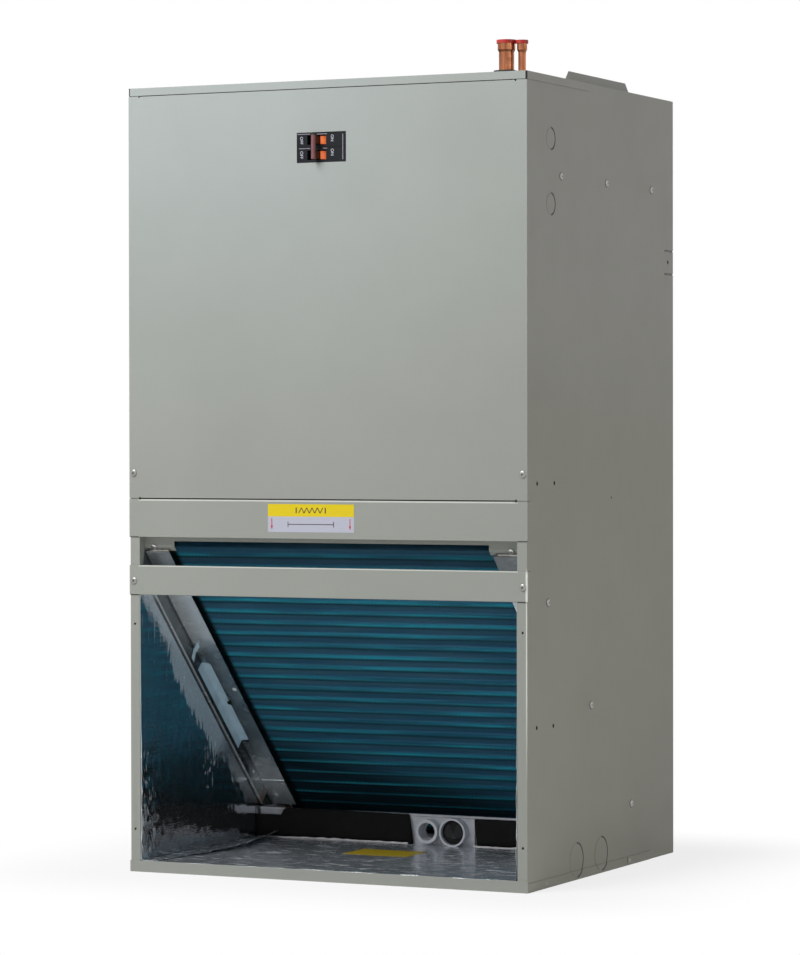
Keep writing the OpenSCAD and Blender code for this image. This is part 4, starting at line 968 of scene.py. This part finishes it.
class AIRHANDLER_OT_foam_strips(bpy.types.Operator):
    """Make the soft foam strips along the drain pan"""
    bl_idname = "airhandler.foam_strips"
    bl_label = "Foam strips"

    def execute(self, context):
        near, far = extent("pan_foam", "y")
        end = extent("pan_foam", "x")[1]
        top = extent("pan_foam", "z")[1]
        fitting = extent("drain_fitting", "x")
        left_tops = [(-end, top - 10.5), (-end + 37, top - 10.5), (-end + 42, top - 0.6),
                     (-150, top - 0.4), (-90, top - 1.2), (fitting[0] - 2, top - 1.6)]
        right_tops = [(fitting[1] + 1, top - 4.5), (fitting[1] + 40, top - 4.2), (end, top - 5.2)]
        strips = Build()
        strips.tube(self.strip(left_tops, -end, fitting[0] + 4, near + 0.1, far - 0.1))
        strips.tube(self.strip(right_tops, fitting[1] + 5, end, near + 0.1, far - 0.1))
        foam = strips.piece("foam_strips", ["foam"])
        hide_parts("pan_foam")
        return {"FINISHED"}

    def strip(self, tops, foot0, foot1, near, far):
        """Rings along a strip, each with straight sides and a rounded top."""
        half = (far - near) / 2
        middle = (near + far) / 2
        count = round((tops[-1][0] - tops[0][0]) / 4)
        rings = []
        for x_top, x_foot in zip(spread(tops[0][0], tops[-1][0], count), spread(foot0, foot1, count)):
            z_top = next(z0 + (z1 - z0) * smooth(x_top, x0, x1)
                         for (x0, z0), (x1, z1) in zip(tops, tops[1:]) if x_top <= x1 + 1e-6)
            z_top -= 0.5 * abs(noise.noise(Vector((x_top / 13, 0, 2))))
            outline = [(-half, FLOOR_Z + 0.2), (-half, FLOOR_Z + 12), (-half, z_top - 12)]
            outline += [(-half * math.cos(a), z_top - half + half * math.sin(a))
                        for a in [math.pi * k / 8 for k in range(9)]]
            outline += [(half, z_top - 12), (half, FLOOR_Z + 12), (half, FLOOR_Z + 0.2)]
            points = []
            for dy, z in outline:
                share = (z - FLOOR_Z) / (z_top - FLOOR_Z)
                x = x_foot + (x_top - x_foot) * share
                bulge = 0.35 * noise.noise(Vector((x / 17, z / 9, 4)))
                points.append(at(x, middle + dy * (0.93 + 0.07 * bulge), z))
            rings.append(points)
        return rings


def screw_mesh(head):
    """A pan head with a cross recess, seated on the plane z = 0: its points, its faces, and whether
    each face is sunk."""
    profile = [(0.5, 0), (0.5, 0.05), (0.46, 0.12), (0.36, 0.18), (0.2, 0.215), (0.03, 0.225)]
    body = Build()
    body.tube([ring(Z * h * head, r * head, 28, X, Y) for r, h in profile])
    wide, narrow = 0.26 * head, 0.055 * head
    cutter = Build()
    for first, second in ((X, Y), (Y, X)):
        cutter.tube([[first * sx * wide * k + second * sy * narrow * k + Z * h * head
                      for sx, sy in ((-1, -1), (1, -1), (1, 1), (-1, 1))]
                     for k, h in ((0.35, 0.06), (1.0, 0.3))])
    block = place_object("head", outward_mesh("head", body.points, body.faces))
    cut = place_object("recess", outward_mesh("recess", cutter.points, cutter.faces))
    carve = block.modifiers.new("recess", "BOOLEAN")
    carve.object = cut
    carve.operation = "DIFFERENCE"
    carve.solver = "EXACT"
    carve.use_self = True
    shape = bpy.data.meshes.new_from_object(block.evaluated_get(bpy.context.evaluated_depsgraph_get()))
    points = [v.co.copy() for v in shape.vertices]
    faces = [tuple(p.vertices) for p in shape.polygons]
    sunk = [int(0.03 * head < p.center.z < 0.17 * head and p.center.xy.length < 0.3 * head)
            for p in shape.polygons]
    for item in (block, cut):
        bpy.data.objects.remove(item)
    return points, faces, sunk


class AIRHANDLER_OT_screws(bpy.types.Operator):
    """Drive the cabinet's cross-head screws"""
    bl_idname = "airhandler.screws"
    bl_label = "Screws"

    def execute(self, context):
        points, faces, sunk = screw_mesh(context.scene.fasteners.head)
        tab_x, tab_s, tab_n = TAB_SCREW
        groups = {
            "front_screws": [(at(x, 0, z), -Y) for x, z in FRONT_SCREWS],
            "tab_screws": [(on_slope(side * tab_x, tab_s, tab_n), -OUT_OF_SLOPE) for side in (-1, 1)],
            "rail_screws": [(on_slope(side * x, s, n), -OUT_OF_SLOPE)
                            for side in (-1, 1) for x, s, n in RAIL_SCREWS],
            "web_rivets": [(on_slope(side * (WALL_X - 1.2), *WEB_RIVET), -side * X)
                           for side in (-1, 1)],
            "side_screws": [(at(side * SIDE_X, y, z), side * X)
                            for side in (-1, 1) for y, z in SIDE_SCREWS],
            "back_screws": [(at(x, BACK_Y, z), Y) for x, z in BACK_SCREWS],
            "base_screws": [(at(side * SIDE_X, y, z), side * X)
                            for side in (-1, 1) for y, z in BASE_SCREWS],
        }
        random.seed(9)
        for name, places in groups.items():
            size = HEAD_SHARES.get(name, 1.0)
            build = Build()
            for place, out in places:
                turn = Matrix.Rotation(random.uniform(0, math.pi), 3, "Z")
                tilt = Z.rotation_difference(out).to_matrix()
                build.add([place + tilt @ turn @ (p * size) for p in points], faces)
            build.face_slots = sunk * len(places)
            build.piece(name, [HEAD_FINISHES.get(name, "dull_steel"), "screw_recess_shade"], smooth=False,
                        slot="steel")
        return {"FINISHED"}


def arrow_outline(x, low, high, half):
    """A slim arrow that points down."""
    neck = low + 0.36 * (high - low)
    return [(x, low), (x + half, neck), (x + half * 0.36, neck), (x + half * 0.36, high),
            (x - half * 0.36, high), (x - half * 0.36, neck), (x - half, neck)]


class AIRHANDLER_OT_filter_label(bpy.types.Operator):
    """Stick the filter label on the strip panel"""
    bl_idname = "airhandler.filter_label"
    bl_label = "Filter label"

    # From which depth to which each layer lies, in millimetres from the front face
    film = (-0.02, -0.16)
    ink = (-0.1, -0.2)
    thin_ink = (-0.1, -0.19)

    def execute(self, context):
        left, right, low, split, high = -78.4, 42.8, 439.8, 459.5, 475.2
        label = Build()
        label.bar(left, right, low, split, *self.film, 0)
        label.bar(left, right, split, high, *self.film, 1)
        for x in (left + 5.5, right - 5.5):
            label.plate(arrow_outline(x, low + 3, split - 2.5, 1.6), *self.ink, 2)
        self.pleats(label, (left + right) / 2, (split + high) / 2)
        label.bar(left + 28, right - 28, low + 9.4, low + 10.4, *self.thin_ink, 3)
        for x in (left + 28, right - 29):
            label.bar(x, x + 1, low + 6.4, low + 13.4, *self.thin_ink, 3)
        label.piece("filter_label", ["label_white", "label_yellow", "label_red", "label_ink"],
                    smooth=False, slot="paint")
        return {"FINISHED"}

    def pleats(self, label, x, z):
        """A plain drawing of a pleated filter: a zigzag between two bars."""
        count, wide, tall, half = 9, 34, 7, 0.65
        ups = [(up_x, z + (tall / 2 if i % 2 else -tall / 2))
               for i, up_x in enumerate(spread(x - wide / 2, x + wide / 2, count))]
        for (x0, z0), (x1, z1) in zip(ups, ups[1:]):
            stroke = [(x0 - half, z0), (x0 + half, z0), (x1 + half, z1), (x1 - half, z1)]
            label.plate(stroke, *self.ink, 3)
        for side in (-1, 1):
            edge = x + side * (wide / 2 + 3.5)
            label.bar(edge - 0.8, edge + 0.8, z - tall / 2, z + tall / 2, *self.ink, 3)


class AIRHANDLER_OT_floor_sticker(bpy.types.Operator):
    """Stick the bare yellow sticker on the floor's foil"""
    bl_idname = "airhandler.floor_sticker"
    bl_label = "Floor sticker"

    def execute(self, context):
        left, right, near, far, step = -62, 30, 178, 244, 2
        rows = [[at(x, y, FLOOR_Z + floor_height(x, y) + 0.25) for x in range(left, right + step, step)]
                for y in range(near, far + step, step)]
        sheet_piece("floor_sticker", rows, "sticker_yellow", 0.12)
        return {"FINISHED"}


class AIRHANDLER_OT_breaker_marks(bpy.types.Operator):
    """Mark the breaker's poles, fit its ridges and end strips, and lay painted shade between its poles
    """
    bl_idname = "airhandler.breaker_marks"
    bl_label = "Breaker marks"

    def execute(self, context):
        face = extent("breaker_body", "y")[0]
        middle = sum(extent("breaker_body", "z")) / 2
        trim = Build()
        for x0, x1, z in ((-35.8, -17.9, 16.6), (-8.7, 5.4, 16.2), (-34, -18, -1.5), (0, 5.9, -1.8)):
            trim.bar(x0, x1, middle + z, middle + z + 0.9, face, face - 0.35, 0)
        trim.bar(27.2, 28.2, middle - 16, middle + 16, face, face - 0.3, 0)
        # Painted shade: thin dark strips along the groove between the poles
        for x0, x1, tall0, tall1 in ((-32, -18, 1.3, 1.3), (-4.8, 26, 1.7, 0.6)):
            trim.plate([(x0, middle - tall0), (x1, middle - tall1), (x1, middle + tall1),
                        (x0, middle + tall0)], face, face - 0.12, 1)
        trim.piece("breaker_ridges_and_shade", ["ridge_grey", "plug_black"], smooth=False, slot="black_plastic")
        marks = (("mark_right_top", "ON", 12.6, 11.2), ("mark_right_bottom", "ON", 12.6, -6.6),
                 ("mark_left_top", "OFF", -30.4, 9.3), ("mark_left_bottom", "OFF", -30.4, -9.0))
        for name, word, x, z in marks:
            self.mark(name, word, at(x, face - 0.02, middle + z))
        return {"FINISHED"}

    def mark(self, name, word, place):
        """A small raised word that reads from below upwards."""
        curve = bpy.data.curves.new("mark", "FONT")
        curve.body = word
        curve.size = 5.6 * MM
        curve.extrude = 0.06 * MM
        curve.align_x = "CENTER"
        curve.align_y = "CENTER"
        text = place_object("mark", curve)
        shape = bpy.data.meshes.new_from_object(
            text.evaluated_get(bpy.context.evaluated_depsgraph_get()))
        bpy.data.objects.remove(text)
        upright = Matrix.Rotation(math.radians(90), 4, "Y") @ Matrix.Rotation(math.radians(90), 4, "X")
        add_piece(name, [place + upright @ v.co for v in shape.vertices],
                  [tuple(p.vertices) for p in shape.polygons], ["mark_white"], slot="black_plastic",
                  smooth=False)


# The camera's place, aim, roll and lens, solved from the cabinet's eight corners
CAMERA_PLACE = Vector((2.1056, -4.4371, 0.5690))
CAMERA_TARGET = Vector((-0.0106, 0.0057, 0.5059))
CAMERA_ROLL = math.radians(-0.089)
CAMERA_LENS = 140.9


class AIRHANDLER_OT_stage(bpy.types.Operator):
    """Set the floor, the lamps, the surrounding light and the camera"""
    bl_idname = "airhandler.stage"
    bl_label = "Stage"

    def execute(self, context):
        settings = context.scene.stage_light
        self.lay_floor()
        self.light_world(settings.ambient)
        self.add_lamp("key", (-0.8, -1.75, 2.4), (0, 0, 0.62), 1.5, settings.key_power, (1, 1, 1))
        self.add_lamp("fill", (3.6, -0.3, 1.5), (0, 0, 0.5), 1.8, settings.fill_power,
                      (1.0, 0.86, 0.80))
        self.place_camera()
        context.scene.view_settings.view_transform = "Standard"
        return {"FINISHED"}

    def lay_floor(self):
        """The floor is white to the rays that see the background, and keeps the object's shadow."""
        half = 9
        mesh = bpy.data.meshes.new("floor")
        mesh.from_pydata([(-half, -half, 0), (half, -half, 0), (half, half, 0), (-half, half, 0)],
                         [], [(0, 1, 2, 3)])
        finish = Finish("pale_floor", (0.86, 0.86, 0.85), 0.9, shine=0.1)
        x, y = [finish.add("ShaderNodeSeparateXYZ", {}, {0: finish.place}, i) for i in (0, 1)]
        away = distance((abs(x) - SIDE_X * MM).over(0), (abs(y) + FRONT).over(0))
        white = (0.8 + 0.2 * away.rise(0.01, 0.3)) * finish.background_rays()
        glow = finish.add("ShaderNodeEmission", {}, {"Color": (1, 1, 1, 1), "Strength": 1})
        both = finish.add("ShaderNodeMixShader", {}, {0: white, 1: finish.shader, 2: glow})
        output = finish.material.node_tree.get_output_node("ALL")
        finish.links.new(both.socket, output.inputs["Surface"])
        mesh.materials.append(finish.material)
        floor = place_object("floor", mesh)

    def light_world(self, ambient):
        """The surrounding light is weak on the object and white to the rays that see it."""
        world = bpy.data.worlds.new("studio")
        bpy.context.scene.world = world
        tree = Tree(world)
        sky = tree.add("ShaderNodeBackground", {}, {
            "Color": (1, 1, 1, 1), "Strength": ambient + (1 - ambient) * tree.background_rays()})
        tree.add("ShaderNodeOutputWorld", {}, {"Surface": sky})

    def add_lamp(self, name, place, target, size, power, colour):
        """A square lamp turned to its target, with places and size in metres."""
        lamp = bpy.data.lights.new(name, "AREA")
        lamp.shape = "SQUARE"
        lamp.size = size
        lamp.energy = power
        lamp.color = colour
        holder = place_object(name, lamp)
        holder.location = place
        holder.rotation_euler = (Vector(target) - Vector(place)).to_track_quat("-Z", "Y").to_euler()

    def place_camera(self):
        """The camera sees the object as the photograph does."""
        data = bpy.data.cameras.new("camera")
        data.lens = CAMERA_LENS
        data.sensor_width = 36
        data.sensor_fit = "AUTO"
        data.clip_end = 60
        camera = place_object("camera", data)
        turn = (CAMERA_TARGET - CAMERA_PLACE).to_track_quat("-Z", "Y").to_matrix().to_4x4()
        roll = Matrix.Rotation(CAMERA_ROLL, 4, "Z")
        camera.matrix_world = Matrix.Translation(CAMERA_PLACE) @ turn @ roll
        bpy.context.scene.camera = camera


STEPS = (
    AIRHANDLER_OT_finish_nodes,
    AIRHANDLER_OT_foil_facing,
    AIRHANDLER_OT_seal_strips,
    AIRHANDLER_OT_fin_stack,
    AIRHANDLER_OT_foam_strips,
    AIRHANDLER_OT_port_plug,
    AIRHANDLER_OT_screws,
    AIRHANDLER_OT_filter_label,
    AIRHANDLER_OT_floor_sticker,
    AIRHANDLER_OT_breaker_marks,
    AIRHANDLER_OT_stage,
)

GROUPS = {
    "cabinet_finish": CabinetFinish,
    "foil_facing": FoilFacing,
    "coil_fins": CoilFins,
    "fasteners": Fasteners,
    "stage_light": StageLight,
}


class AIRHANDLER_PT_pieces(bpy.types.Panel):
    """Settings and pieces of the air handler"""
    bl_idname = "AIRHANDLER_PT_pieces"
    bl_label = "Air handler"
    bl_space_type = "VIEW_3D"
    bl_region_type = "UI"
    bl_category = "Air handler"

    def draw(self, context):
        for name, group in GROUPS.items():
            settings = self.layout.box()
            for key in group.__annotations__:
                settings.prop(getattr(context.scene, name), key)
        for step in STEPS:
            self.layout.operator(step.bl_idname)


def register():
    for item in (*GROUPS.values(), *STEPS, AIRHANDLER_PT_pieces):
        bpy.utils.register_class(item)
    for name, group in GROUPS.items():
        setattr(bpy.types.Scene, name, bpy.props.PointerProperty(type=group))


def unregister():
    for name in GROUPS:
        delattr(bpy.types.Scene, name)
    for item in reversed((*GROUPS.values(), *STEPS, AIRHANDLER_PT_pieces)):
        bpy.utils.unregister_class(item)


def main():
    """Makes every piece in order."""
    register()
    for step in STEPS:
        family, name = step.bl_idname.split(".")
        getattr(getattr(bpy.ops, family), name)()


if __name__ == "__main__":
    main()
